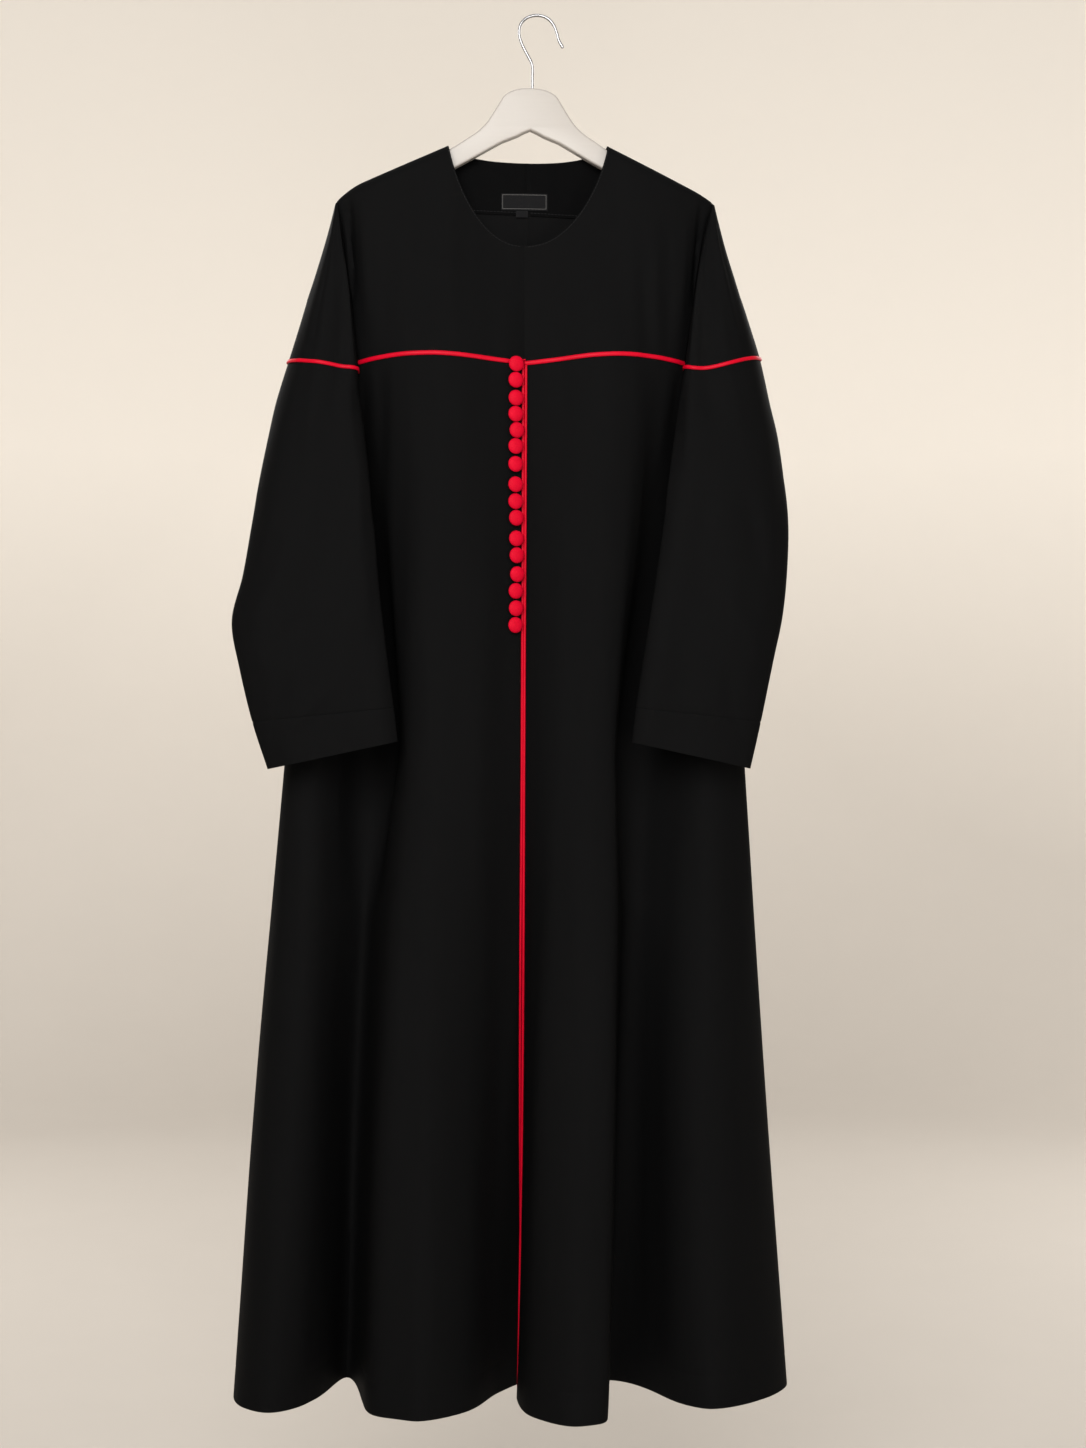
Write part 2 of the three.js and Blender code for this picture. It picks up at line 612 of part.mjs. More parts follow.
function sleeveCell(side, at, share) {
  const { out } = sides[side];
  const step = 0.004;
  const down = 0.05;
  const point = sleeveCurve(side, at).getPoint(share);
  const along = sleeveCurve(side, at).getPoint(Math.min(share + step, 1))
    .sub(sleeveCurve(side, at).getPoint(Math.max(share - step, 0)));
  const from = Math.max(at - down, 0);
  const to = Math.min(at + down, lastRing);
  const up = sleeveCurve(side, from).getPoint(share).sub(sleeveCurve(side, to).getPoint(share));
  return { point, normal: along.cross(up).multiplyScalar(out).normalize() };
}

function sleevePart(side, from, to, rows, trimTop, trimBottom) {
  const grid = [];
  for (let i = 0; i <= rows; i++) {
    const at = from + ((to - from) * i) / rows;
    const row = [];
    for (let j = 0; j <= sleeveColumns; j++) row.push(sleeveCell(side, at, j / sleeveColumns));
    if (i === 0) for (const cell of row) cell.point.z -= trimTop;
    if (i === rows) for (const cell of row) cell.point.z += trimBottom;
    grid.push(row);
  }
  const closed = Math.max(0, Math.ceil(((underarmRing - from) / (to - from)) * rows - 1e-6));
  const closedFrom = closed <= rows ? closed : Infinity;
  return sheet(facingOut(grid, side === 'right'), wall, closedFrom);
}

// Piping laid on a run of surface cells.
function pipeOn(cells, gap = seam) {
  const points = cells.map((cell) => cell.point.clone().addScaledVector(cell.normal, pipeHalfHeight + gap));
  return cord(points, cells.map((cell) => cell.normal), pipeHalfWidth, pipeHalfHeight, 6);
}

function chestPiping(side) {
  const { out } = sides[side];
  const [opening, sideSeam] = frontRange[side];
  // The right one ends under the top button.
  const from = openingX + (side === 'right' ? -14.2 : 3.4);
  const to = armhole(side, 'front', chestZ) - out * 1.5;
  const steps = 18;
  const cells = [];
  for (let i = 0; i <= steps; i++) {
    const x = from + ((to - from) * i) / steps;
    const z = chestSeam(side, x);
    cells.push(cellAt(lineAt(x, z, opening, sideSeam), z));
  }
  return pipeOn(cells);
}

function sleevePiping(side) {
  const steps = 26;
  const cells = [];
  for (let i = 0; i <= steps; i++) cells.push(sleeveCell(side, chestRing, 0.02 + (0.96 * i) / steps));
  return pipeOn(cells, 2 * seam);
}

// Piping along a front edge, level with the cloth beside it.
const edgePipeSteps = 26;

function edgePiping(side) {
  const [opening, sideSeam] = frontRange[side];
  const top = chestZ - pipeHalfWidth - 2 * seam;
  const points = [];
  const outs = [];
  for (let i = 0; i <= edgePipeSteps; i++) {
    const z = top + ((hemZ - top) * i) / edgePipeSteps;
    const t = lineAway(opening, sideSeam, edgePipeInset, z);
    const normal = bodyNormal(t, z);
    points.push(bodyPoint(t, z).addScaledVector(normal, -wall / 2));
    outs.push(normal);
  }
  return cord(points, outs, edgePipeRadius, edgePipeRadius, 6);
}

// Covered button on its shank, turned to face along the cloth's normal.
const buttonProfile = [
  [0, 0], [shankRadius, 0], [shankRadius, shankHeight], [buttonRadius * 0.84, shankHeight + 0.2],
  [buttonRadius, shankHeight + 1.7], [buttonRadius * 0.72, shankHeight + buttonDomeHeight * 0.8],
  [0, shankHeight + buttonDomeHeight],
];

function buttonSeat({ drop, shift }) {
  const z = chestZ - drop;
  const t = lineAt(buttonX + shift, z, rightSide, lastLine);
  return { point: bodyPoint(t, z), normal: bodyNormal(t, z) };
}

function buttonOn({ point, normal }) {
  const profile = buttonProfile.map(([radius, height]) => new THREE.Vector2(radius, height));
  const geometry = new THREE.LatheGeometry(profile, 10);
  const facing = new THREE.Quaternion().setFromUnitVectors(new THREE.Vector3(0, 1, 0), normal);
  geometry.applyQuaternion(facing);
  const seat = point.clone().addScaledVector(normal, seam);
  return geometry.translate(seat.x, seat.y, seat.z);
}

// Loop: from the left front's piping round the button's shank and back.
const loopTable = [
  { from: 0, spread: 1 }, { from: 0.35, spread: 0.78 },
  { from: 0.72, spread: 0.58 }, { from: 0.96, spread: 0.36 },
];

function buttonLoop(button) {
  const { point, normal } = buttonSeat(button);
  const across = new THREE.Vector3(-normal.y, normal.x, 0).normalize();
  const root = openingX + 1 - point.x;
  const end = -shankRadius - loopRadius - 0.4;
  const leg = (sign) => loopTable.map(({ from, spread }) => point.clone()
    .addScaledVector(across, root + (end - root) * from)
    .addScaledVector(normal, loopHeight)
    .setZ(point.z + sign * spread * loopSpread));
  const path = [...leg(1), ...leg(-1).reverse()];
  return cord(path, path.map(() => normal), loopRadius, loopRadius, 5);
}

// Hanger board: the outline of one arm, from the top of the crown out to the tip and back under.
function boardOutline() {
  const crown = [
    [0, -78], [9, -79.4], [17, -83], [25, -88.5], [31, -96.5],
    [37, -106], [45, -116], [55, -125.5], [64, -132],
  ];
  const arm = [];
  for (let out = 84; out <= armEnd - 8; out += 16) arm.push([out, ridge(centreX + out) - boardClearance]);
  const tipTop = ridge(centreX + armEnd) - boardClearance;
  const tip = [[armEnd, tipTop - 2], [armEnd + 3, tipTop - 9], [armEnd - 1, tipTop - 17]];
  const under = [
    [armEnd - 10, tipTop - armHeight + 4], [84, ridge(centreX + 84) - boardClearance - armHeight], [0, -123],
  ];
  return { top: [...crown, ...arm], tip, under };
}

function hangerBoard() {
  const bevel = 2.2;
  const { top, tip, under } = boardOutline();
  const half = [...top, ...tip, ...under];
  const shape = new THREE.Shape();
  half.forEach(([out, z], i) => (i ? shape.lineTo(out, z) : shape.moveTo(out, z)));
  half.slice(1, -1).reverse().forEach(([out, z]) => shape.lineTo(-out, z));
  const geometry = new THREE.ExtrudeGeometry(shape, {
    depth: 2 * (boardHalf - bevel), bevelEnabled: true, bevelThickness: bevel, bevelSize: bevel,
    bevelOffset: -bevel, bevelSegments: 2,
  });
  return geometry.rotateX(Math.PI / 2).translate(centreX, boardHalf - bevel, 0);
}

// Wire hook: a straight stem, a sweep to the side, a round top over the origin and a flared end.
const hookPath = [
  [-6, -77.6], [-6, -66], [-6, -54], [-7.5, -48.5], [-12, -40], [-17.5, -29], [-20.3, -18.5], [-18.6, -8.5],
  [-12.5, -1.6], [-4.5, 1.3], [4, 1.2], [11.5, -2.2], [17, -8.8], [20.2, -17], [22.5, -25], [26.5, -32],
];

function hangerHook() {
  const points = hookPath.map(([x, z]) => new THREE.Vector3(x, 0, z));
  const curve = new THREE.CatmullRomCurve3(points, false, 'centripetal');
  const section = new THREE.Shape().absarc(0, 0, wireRadius, 0, 2 * Math.PI);
  return new THREE.ExtrudeGeometry(section, { extrudePath: curve, steps: 32, curveSegments: 5 });
}

for (const side of ['right', 'left']) {
  add(`front_yoke_${side}`, frontYoke(side), black);
  add(`front_${side}`, longFront(side), black);
  add(`back_${side}`, longBack(side), black);
  add(`neck_facing_${side}`, neckFacing(side), black);
  add(`upper_sleeve_${side}`, sleevePart(side, 0, chestRing, 8, 0, seam / 2), black);
  add(`lower_sleeve_${side}`, sleevePart(side, chestRing, cuffRing, 16, seam / 2, seam / 2), black);
  add(`cuff_${side}`, sleevePart(side, cuffRing, lastRing, 2, seam / 2, 0), black);
  add(`chest_piping_${side}`, chestPiping(side), red);
  add(`sleeve_piping_${side}`, sleevePiping(side), red);
  add(`edge_piping_${side}`, edgePiping(side), red);
}
const behindLabel = wall + facingGap + thinWall + seam;
add('neck_label', neckTab(label, behindLabel), labelBlack);
add('size_tab', neckTab(sizeTab, behindLabel), labelBlack);
buttons.forEach((button, i) => {
  const number = String(i + 1).padStart(2, '0');
  add(`button_${number}`, buttonOn(buttonSeat(button)), red);
  add(`button_loop_${number}`, buttonLoop(button), red);
});
add('hanger_board', hangerBoard(), whiteWood);
add('hanger_hook', hangerHook(), steel);

export default garment;
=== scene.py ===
# Blazer abaya in black crepe on its hanger: the cloth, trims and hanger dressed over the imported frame.
# Shapes are worked out in millimetres, as the part's own are, and go into Blender in metres.
# x runs to the wearer's left, -y is the front and +z is up; the origin is the inner top of the hook.
import math

import bpy
import numpy as np
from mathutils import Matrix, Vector


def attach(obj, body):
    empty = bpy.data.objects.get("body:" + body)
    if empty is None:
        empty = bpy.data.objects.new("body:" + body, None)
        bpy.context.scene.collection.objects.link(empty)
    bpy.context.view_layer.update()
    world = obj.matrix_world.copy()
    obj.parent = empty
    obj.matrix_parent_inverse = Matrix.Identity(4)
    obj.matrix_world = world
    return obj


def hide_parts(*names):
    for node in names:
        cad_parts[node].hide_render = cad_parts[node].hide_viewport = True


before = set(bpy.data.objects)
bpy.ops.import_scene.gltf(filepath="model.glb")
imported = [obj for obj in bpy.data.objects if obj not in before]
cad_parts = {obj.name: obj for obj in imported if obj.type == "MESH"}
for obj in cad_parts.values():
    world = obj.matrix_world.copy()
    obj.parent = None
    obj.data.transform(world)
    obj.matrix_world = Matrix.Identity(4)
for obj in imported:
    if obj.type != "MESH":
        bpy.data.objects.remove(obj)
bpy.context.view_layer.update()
mm = 0.001
sideNames = ("right", "left")

bodyShape = {
    "chestZ": -376, "chestRise": 7, "underarmZ": -450, "hemZ": -1484,
    "openingX": -16, "backSeamX": -11, "centreX": -8.5,
    "ridgeZ": -139.5, "ridgeReach": 85, "ridgeRound": 12,
    "frontNeckDrop": 110, "backNeckDrop": 15, "neckSides": 2.2, "neckFloor": 0.75,
    "shoulderDepth": 0.72,   # the shoulder level's depth as a share of the yoke's
}
sideShape = {
    "left": {"out": 1, "neckHalf": 82.5, "tip": 197, "fall": 0.488, "droopFrom": 175, "droop": 0.005,
             "seamLift": 3.5},
    "right": {"out": -1, "neckHalf": 88, "tip": 206, "fall": 0.447, "droopFrom": 178, "droop": 0.0095,
              "seamLift": 1},
}
cloth = {
    "thickness": 1.1, "hemThickness": 2.0, "seamDip": 0.55, "seamReach": 1.6,
    "shoulderDip": 0.6,   # how deep the shoulder seam lies, as a share of the other seams
}

# One row for each fold line round the body, with its [x, y] at the yoke, chest, cuff, knee and hem levels.
levelZ = np.array([-150, -250, -376, -800, -1140, -1484], float)
foldLines = [
    ("left opening", (-16, -17), (-16, -24), (-17, -15), (-16, 6), (-19, 30)),
    ("left lap", (8, -19), (6, -30), (1, -32), (-11.5, -22), (-23, 0)),
    ("left rise", (36, -22), (38, -38), (22, -46), (-1, -52), (-12, -54)),
    ("left crest", (66, -25), (72, -42), (52, -51), (34, -72), (30, -91)),
    ("left turn", (92, -26), (98, -39), (79, -44), (68, -66), (62, -80)),
    ("left wall", (112, -25), (116, -32), (90, -20), (76, -12), (65, -16)),
    ("left valley", (130, -23), (134, -25), (106, 6), (92, 36), (80, 62)),
    ("left slope", (148, -20), (153, -20), (140, 6), (127, 18), (122, 26)),
    ("left side crest", (166, -15), (173, -14), (182, -7), (174, -28), (179, -44)),
    ("left hip", (183, -8), (189, -7), (210, 0), (224, -10), (240, -16)),
    ("left side seam", (193, 0), (197, 0), (226, 14), (250, 26), (277, 36)),
    ("left back side", (184, 11), (188, 14), (214, 30), (238, 50), (262, 78)),
    ("left back crest", (140, 18), (146, 24), (160, 44), (172, 74), (186, 108)),
    ("left back valley", (70, 19), (74, 26), (80, 38), (84, 58), (88, 84)),
    ("back centre", (-11, 17), (-11, 24), (-11, 43), (-12, 73), (-14, 106)),
    ("right back valley", (-94, 19), (-98, 26), (-108, 38), (-120, 58), (-132, 84)),
    ("right back crest", (-168, 18), (-178, 24), (-200, 44), (-216, 74), (-232, 110)),
    ("right back side", (-216, 11), (-225, 14), (-257, 30), (-285, 50), (-311, 80)),
    ("right side seam", (-226, 0), (-236, 0), (-271, 14), (-301.5, 26), (-327, 37)),
    ("right hip", (-216, -8), (-226, -7), (-262, -1), (-290, -10), (-314, -6)),
    ("right side crest", (-198, -15), (-207, -14), (-240, -8), (-262, -22), (-284, -24)),
    ("right slope", (-180, -20), (-188, -20), (-208, 4), (-230, 4), (-239, 18)),
    ("right valley", (-162, -23), (-170, -25), (-178, 18), (-195, 52), (-206, 93)),
    ("right wall", (-144, -25), (-153, -31), (-157, -8), (-171, 0), (-183, 8)),
    ("right turn", (-124, -26), (-133, -38), (-138, -36), (-153, -44), (-167, -36)),
    ("right crest", (-97, -26), (-104, -42), (-110, -46), (-124, -58), (-130, -63)),
    ("right fall", (-66, -23), (-68, -38), (-68, -40), (-78, -40), (-78, -36)),
    ("right lap", (-40, -19), (-40, -31), (-40, -26), (-44, -8), (-44, 22)),
    ("right opening", (-16, -17), (-16, -24), (-17, -15), (-17.5, 14), (-13, 62)),
]
foldTable = np.array([row[1:] for row in foldLines], float)
foldX = np.concatenate([foldTable[:, :1, 0], foldTable[:, :, 0]], axis=1).T
foldY = np.concatenate([foldTable[:, :1, 1] * bodyShape["shoulderDepth"], foldTable[:, :, 1]], axis=1).T
foldNames = [row[0] for row in foldLines]
lastLine = len(foldLines) - 1
leftSeam = foldNames.index("left side seam")
rightSeam = foldNames.index("right side seam")
backCentre = foldNames.index("back centre")
frontRange = {"left": (0, leftSeam), "right": (lastLine, rightSeam)}
backRange = {"left": (backCentre, leftSeam), "right": (backCentre, rightSeam)}

# Armhole edge: height, then its x on the front and on the back
armholes = {
    "left": [(-197, 188.5, 188.5), (-250, 179.5, 184), (-324, 168, 175), (-376, 159.5, 172),
             (-410, 165, 176), (-435, 180, 187), (-450, 201, 201)],
    "right": [(-203, -214.5, -214.5), (-250, -210, -212), (-324, -200, -208), (-376, -195, -208),
              (-410, -201, -214), (-435, -218, -228), (-450, -242, -242)],
}

# Soft creases of the body: x and z at the two ends, width, height out of the cloth and lean.
# Long ones follow the hang; short ones are the easing at the armholes, neck and chest seam.
# A few run on below the hem, so that they are still high where the cloth ends.
frontCreases = [
    (-204, -190, -200, -310, 3.4, -5.0, 0.2), (-188, -205, -184, -330, 4.5, 1.2, 0.0),
    (-165, -205, -161, -374, 9, -1.1, 0.2), (-150, -230, -146, -520, 16, 1.1, 0.0),
    (-122, -172, -128, -372, 16, -1.0, 0.2), (-96, -150, -92, -360, 13, 0.8, 0.0),
    (-62, -262, -58, -470, 20, -0.8, 0.2), (-34, -270, -36, -700, 14, 0.9, -0.2),
    (108, -250, 114, -372, 7, -1.2, 0.3), (124, -222, 126, -372, 7, 1.0, 0.0),
    (140, -204, 138, -374, 7, -1.3, -0.3), (158, -206, 153, -340, 4.5, 1.2, 0.0),
    (176, -190, 170, -310, 3.4, -4.6, 0.2), (88, -150, 84, -350, 16, -0.8, 0.0),
    (56, -230, 62, -520, 20, 0.9, 0.2), (20, -262, 24, -560, 16, -0.8, 0.0),
    (-189, -378, -187, -452, 5, -1.8, 0.2), (-178, -378, -174, -470, 6, 1.4, 0.0),
    (-166, -378, -168, -520, 8, -1.5, -0.2), (150, -378, 147, -470, 6, -1.5, 0.2),
    (138, -378, 134, -500, 8, 1.3, 0.0), (122, -378, 118, -560, 9, -1.4, 0.2),
    (104, -380, 100, -640, 14, 1.1, 0.0), (-140, -400, -150, -900, 13, -1.2, 0.3),
    (-96, -470, -100, -1180, 30, -1.3, 0.2), (-60, -560, -62, -1380, 20, 1.3, -0.2),
    (-36, -760, -38, -1484, 14, -1.0, 0.0), (36, -520, 14, -1300, 20, -1.2, 0.2),
    (62, -600, 48, -1484, 16, 1.1, 0.0), (4, -700, -6, -1484, 13, 1.0, 0.2),
    (-152, -830, -178, -1750, 16, 12.0, 0.0), (-120, -1020, -118, -1484, 26, 1.3, 0.0),
    (-214, -820, -252, -1484, 15, 1.5, 0.2), (-232, -850, -262, -1560, 17, 6.5, 0.0),
    (-262, -900, -306, -1484, 15, 1.2, 0.2), (84, -800, 66, -1560, 12, 6.0, 0.0),
    (112, -820, 104, -1560, 15, -7.0, 0.0), (184, -830, 208, -1484, 20, 1.5, 0.0),
    (152, -850, 147, -1560, 20, 9.0, 0.0), (212, -900, 242, -1420, 16, -1.2, 0.2),
]
backCreases = [
    (-190, -200, -186, -440, 12, -1.5, 0.2), (-160, -190, -150, -560, 18, 1.3, 0.0),
    (-118, -170, -124, -420, 16, -1.0, 0.2), (-78, -160, -70, -520, 22, 0.9, 0.0),
    (-40, -200, -52, -900, 26, -1.1, 0.2), (24, -200, 34, -820, 24, -1.0, 0.0),
    (62, -160, 52, -560, 18, 0.9, 0.2), (98, -180, 106, -440, 15, -1.0, 0.0),
    (138, -200, 130, -600, 18, 1.3, 0.2), (168, -210, 163, -440, 10, -1.5, 0.0),
    (-90, -700, -98, -1484, 26, 1.4, 0.2), (-160, -720, -176, -1484, 22, -1.5, 0.0),
    (-232, -760, -262, -1484, 18, 1.3, 0.2), (48, -760, 44, -1484, 24, 1.5, 0.0),
    (118, -700, 132, -1484, 22, -1.5, 0.2), (190, -780, 214, -1484, 18, 1.2, 0.0),
    (2, -1000, -4, -1484, 18, 1.2, 0.0), (-224, -450, -232, -760, 11, -1.5, 0.2),
    (196, -450, 200, -760, 11, -1.4, 0.2),
]

# The body falls away beside each sleeve's inner edge: height, centre x, depth and reach towards the middle
hollowRows = {
    "right": [(-186, -213, 0, 12), (-250, -211, 9, 14), (-376, -199, 9, 20), (-440, -194, 23, 18),
              (-540, -185, 29, 15), (-660, -176, 29, 14), (-780, -170, 25, 14), (-850, -176, 20, 14),
              (-960, -178, 0, 14)],
    "left": [(-186, 188, 0, 12), (-250, 181, 9, 14), (-376, 165, 9, 18), (-440, 163, 20, 26),
             (-540, 150, 27, 29), (-660, 129, 29, 25), (-780, 111, 26, 20), (-850, 106, 20, 18),
             (-960, 100, 0, 14)],
}
hollowUnder = 34   # reach of each hollow under the sleeve


# Smooth curve through values at knots, which may run downwards; at may be any array.
def hermite(knots, values, at):
    knots = np.asarray(knots, float)
    values = np.asarray(values, float)
    at = np.asarray(at, float)
    last = len(knots) - 1
    way = math.copysign(1, knots[-1] - knots[0])
    i = np.clip(np.searchsorted(knots * way, at * way) - 1, 0, last - 1)
    slopes = np.empty_like(values)
    slopes[1:-1] = (values[2:] - values[:-2]) / (knots[2:] - knots[:-2])
    slopes[0] = (values[1] - values[0]) / (knots[1] - knots[0])
    slopes[-1] = (values[-1] - values[-2]) / (knots[-1] - knots[-2])
    step = knots[i + 1] - knots[i]
    u = np.clip((at - knots[i]) / step, 0, 1)
    return mixHermite(values[i], values[i + 1], slopes[i] * step, slopes[i + 1] * step, u)


def mixHermite(a, b, slopeA, slopeB, u):
    uu, uuu = u * u, u * u * u
    first = a * (2 * uuu - 3 * uu + 1) + slopeA * (uuu - 2 * uu + u)
    return first + b * (3 * uu - 2 * uuu) + slopeB * (uuu - uu)


# Centripetal Catmull-Rom segment between p1 and p2; the arrays' last axis holds the coordinates.
def catmullSegment(p0, p1, p2, p3, u):
    def gap(a, b):
        return ((b - a) ** 2).sum(axis=-1, keepdims=True) ** 0.25
    d1 = gap(p1, p2)
    d1 = np.where(d1 < 1e-4, 1, d1)
    d0, d2 = gap(p0, p1), gap(p2, p3)
    d0, d2 = np.where(d0 < 1e-4, d1, d0), np.where(d2 < 1e-4, d1, d2)
    m1 = ((p1 - p0) / d0 - (p2 - p0) / (d0 + d1) + (p2 - p1) / d1) * d1
    m2 = ((p2 - p1) / d1 - (p3 - p1) / (d1 + d2) + (p3 - p2) / d2) * d1
    u = u[..., None]
    return mixHermite(p1, p2, m1, m2, u)


# Points along Catmull-Rom curves: rows of control points (n, m, 3) at shares (n, k) from 0 to 1.
def catmullRows(controls, share):
    count = controls.shape[1]
    place = np.clip(share, 0, 1) * (count - 1)
    i = np.minimum(place.astype(int), count - 2)
    row = np.arange(len(controls))[:, None]
    p1, p2 = controls[row, i], controls[row, i + 1]
    p0 = np.where((i > 0)[..., None], controls[row, np.maximum(i - 1, 0)], 2 * p1 - p2)
    p3 = np.where((i + 2 < count)[..., None], controls[row, np.minimum(i + 2, count - 1)], 2 * p2 - p1)
    return catmullSegment(p0, p1, p2, p3, place - i)


def foldSlopes(values):
    slopes = np.empty_like(values)
    slopes[1:-1] = (values[2:] - values[:-2]) / (levelZ[2:] - levelZ[:-2])[:, None]
    slopes[0] = (values[1] - values[0]) / (levelZ[1] - levelZ[0])
    slopes[-1] = (values[-1] - values[-2]) / (levelZ[-1] - levelZ[-2])
    return slopes


slopeX, slopeY = foldSlopes(foldX), foldSlopes(foldY)


def foldPoint(line, z):
    k = np.clip(np.searchsorted(-levelZ, -z) - 1, 0, len(levelZ) - 2)
    step = levelZ[k + 1] - levelZ[k]
    u = np.clip((z - levelZ[k]) / step, 0, 1)
    def value(table, slopes):
        ends = slopes[k, line] * step, slopes[k + 1, line] * step
        return mixHermite(table[k, line], table[k + 1, line], *ends, u)
    return np.stack([value(foldX, slopeX), value(foldY, slopeY)], axis=-1)


# The body's outline at fold line t and height z, before the shoulders close it; t may lie between two lines.
def flatPoint(t, z):
    t, z = np.broadcast_arrays(np.asarray(t, float), np.asarray(z, float))
    t = np.clip(t, 0, lastLine)
    i = np.minimum(t.astype(int), lastLine - 1)
    p1, p2 = foldPoint(i, z), foldPoint(i + 1, z)
    p0 = np.where((i > 0)[..., None], foldPoint(np.maximum(i - 1, 0), z), 2 * p1 - p2)
    p3 = np.where((i + 2 <= lastLine)[..., None], foldPoint(np.minimum(i + 2, lastLine), z), 2 * p2 - p1)
    return catmullSegment(p0, p1, p2, p3, t - i)


def ridge(x):
    out = np.abs(x - bodyShape["centreX"])
    def height(s):
        droop = s["droop"] * np.maximum(0, out - s["droopFrom"]) ** 2
        return bodyShape["ridgeZ"] - s["fall"] * (out - bodyShape["ridgeReach"]) - droop
    return np.where(x > bodyShape["centreX"], height(sideShape["left"]), height(sideShape["right"]))


def bodyPoint(t, z):
    flat = flatPoint(t, z)
    z = np.broadcast_to(z, flat.shape[:-1])
    below = np.clip((ridge(flat[..., 0]) - z) / bodyShape["ridgeRound"], 0, 1)
    return np.stack([flat[..., 0], flat[..., 1] * np.sqrt(1 - (1 - below) ** 2), z], axis=-1)


def unit(v):
    return v / np.maximum(np.linalg.norm(v, axis=-1, keepdims=True), 1e-9)


def bodyNormal(t, z):
    along = bodyPoint(np.minimum(t + 0.02, lastLine), z) - bodyPoint(np.maximum(t - 0.02, 0), z)
    up = bodyPoint(t, z) - bodyPoint(t, z - 0.1)
    return unit(np.cross(along, up))


def lineAt(x, z, start, end):
    x, z = np.broadcast_arrays(np.asarray(x, float), np.asarray(z, float))
    rising = flatPoint(end, z)[..., 0] > flatPoint(start, z)[..., 0]
    low, high = np.full(z.shape, float(start)), np.full(z.shape, float(end))
    for _ in range(26):
        middle = (low + high) / 2
        further = (flatPoint(middle, z)[..., 0] < x) == rising
        low, high = np.where(further, middle, low), np.where(further, high, middle)
    return (low + high) / 2


def lineAway(start, end, distance, z):
    z = np.asarray(z, float)
    origin = bodyPoint(float(start), z)
    low = np.full(z.shape, float(start))
    high = low + math.copysign(1.5, end - start)
    for _ in range(26):
        middle = (low + high) / 2
        short = np.linalg.norm(bodyPoint(middle, z) - origin, axis=-1) < distance
        low, high = np.where(short, middle, low), np.where(short, high, middle)
    return (low + high) / 2


def armhole(side, face, z):
    rows = np.array(armholes[side], float)
    return hermite(rows[:, 0], rows[:, 1 if face == "front" else 2], z)


def chestSeam(side, x):
    end = next(row[1] for row in armholes[side] if row[0] == bodyShape["chestZ"])
    share = np.clip((x - bodyShape["openingX"]) / (end - bodyShape["openingX"]), 0, 1)
    rise = bodyShape["chestRise"] * np.sin(math.pi * share ** 1.25)
    return bodyShape["chestZ"] + rise + sideShape[side]["seamLift"] * share ** 1.5


# How far soft creases lift the cloth at (a, b), in whatever two measures their table uses
def creaseLift(creases, a, b, stretch=1.0):
    lift = np.zeros(np.shape(a))
    for a0, b0, a1, b1, width, height, lean in creases:
        da, db = (a1 - a0) * stretch, b1 - b0
        length = math.hypot(da, db)
        run = ((a - a0) * stretch * da + (b - b0) * db) / length ** 2
        across = ((a - a0) * stretch * db - (b - b0) * da) / length / width
        across = across * np.where(across > 0, 1 + lean, 1 - lean)
        fade = np.sin(math.pi * np.clip(run, 0, 1)) ** 0.6
        lift = lift + height * np.exp(-across ** 2) * fade
    return lift


def sleeveHollow(x, z):
    lift = np.zeros(np.shape(x))
    for side, rows in hollowRows.items():
        table = np.array(rows, float)
        centre, depth, reach = (hermite(table[:, 0], table[:, k], z) for k in (1, 2, 3))
        away = (x - centre) * sideShape[side]["out"]
        lift = lift - depth * np.exp(-(away / np.where(away > 0, hollowUnder, reach)) ** 2)
    return lift


# Slow unevenness of hung cloth, from a few crossed waves
unevenness = {"height": 0.45, "across": 74, "down": 260}


def drift(x, z, phase=0.0):
    waves = [(1.0, 0.35, 0.0), (1.9, -0.6, 1.3), (0.55, 1.2, 2.1), (3.1, 0.5, 4.0), (1.4, 2.3, 5.2)]
    total = 0
    for k, (wx, wz, shift) in enumerate(waves):
        angle = 2 * math.pi * (wx * x / unevenness["across"] + wz * z / unevenness["down"]) + shift + phase
        total = total + np.sin(angle) / (1 + k * 0.6)
    return unevenness["height"] * total / 2


# The cloth's own surface on the body: fold lines, creases and unevenness together
def bodyCloth(t, z):
    t, z = np.broadcast_arrays(np.asarray(t, float), np.asarray(z, float))
    point, normal = bodyPoint(t, z), bodyNormal(t, z)
    x = point[..., 0]
    onBack = (t > leftSeam) & (t < rightSeam)
    front = creaseLift(frontCreases, x, z) + sleeveHollow(x, z)
    lift = np.where(onBack, creaseLift(backCreases, x, z), front) + drift(x, z)
    inset = np.minimum(np.abs(t - leftSeam), np.abs(t - rightSeam))
    inset = np.minimum(inset, np.minimum(np.abs(t - backCentre), np.minimum(t, lastLine - t) * 2))
    calm = np.clip(inset / 0.5, 0, 1) * np.clip((ridge(x) - z) / 20, 0, 1)
    level = unit(normal * np.array([1, 1, 0]))
    return point + level * (lift * calm)[..., None], normal


def facingOut(points, normals, turned):
    return (points[:, ::-1], normals[:, ::-1]) if turned else (points, normals)


# Lowers the cloth at its sewn edges, so that each seam shows as a fine ditch.
def dipSeams(points, normals, edges):
    dips = [1.0, 0.42, 0.1]
    drop = np.zeros(points.shape[:2])
    for edge in edges:
        for k, share in enumerate(dips):
            place = {"top": (k, slice(None)), "bottom": (-1 - k, slice(None)),
                     "first": (slice(None), k), "last": (slice(None), -1 - k)}[edge]
            drop[place] = np.maximum(drop[place], share * cloth["seamDip"])
    return points - normals * drop[..., None]


# Shares from 0 to 1 with the close steps beside both ends that seams need, for a width in mm
def clothSteps(width, step):
    near = np.array([0, cloth["seamReach"] * 0.5, cloth["seamReach"]]) / width
    count = max(int(width / step), 4)
    middle = np.linspace(near[-1] * 2, 1 - near[-1] * 2, count)
    return np.concatenate([near, middle, 1 - near[::-1]])


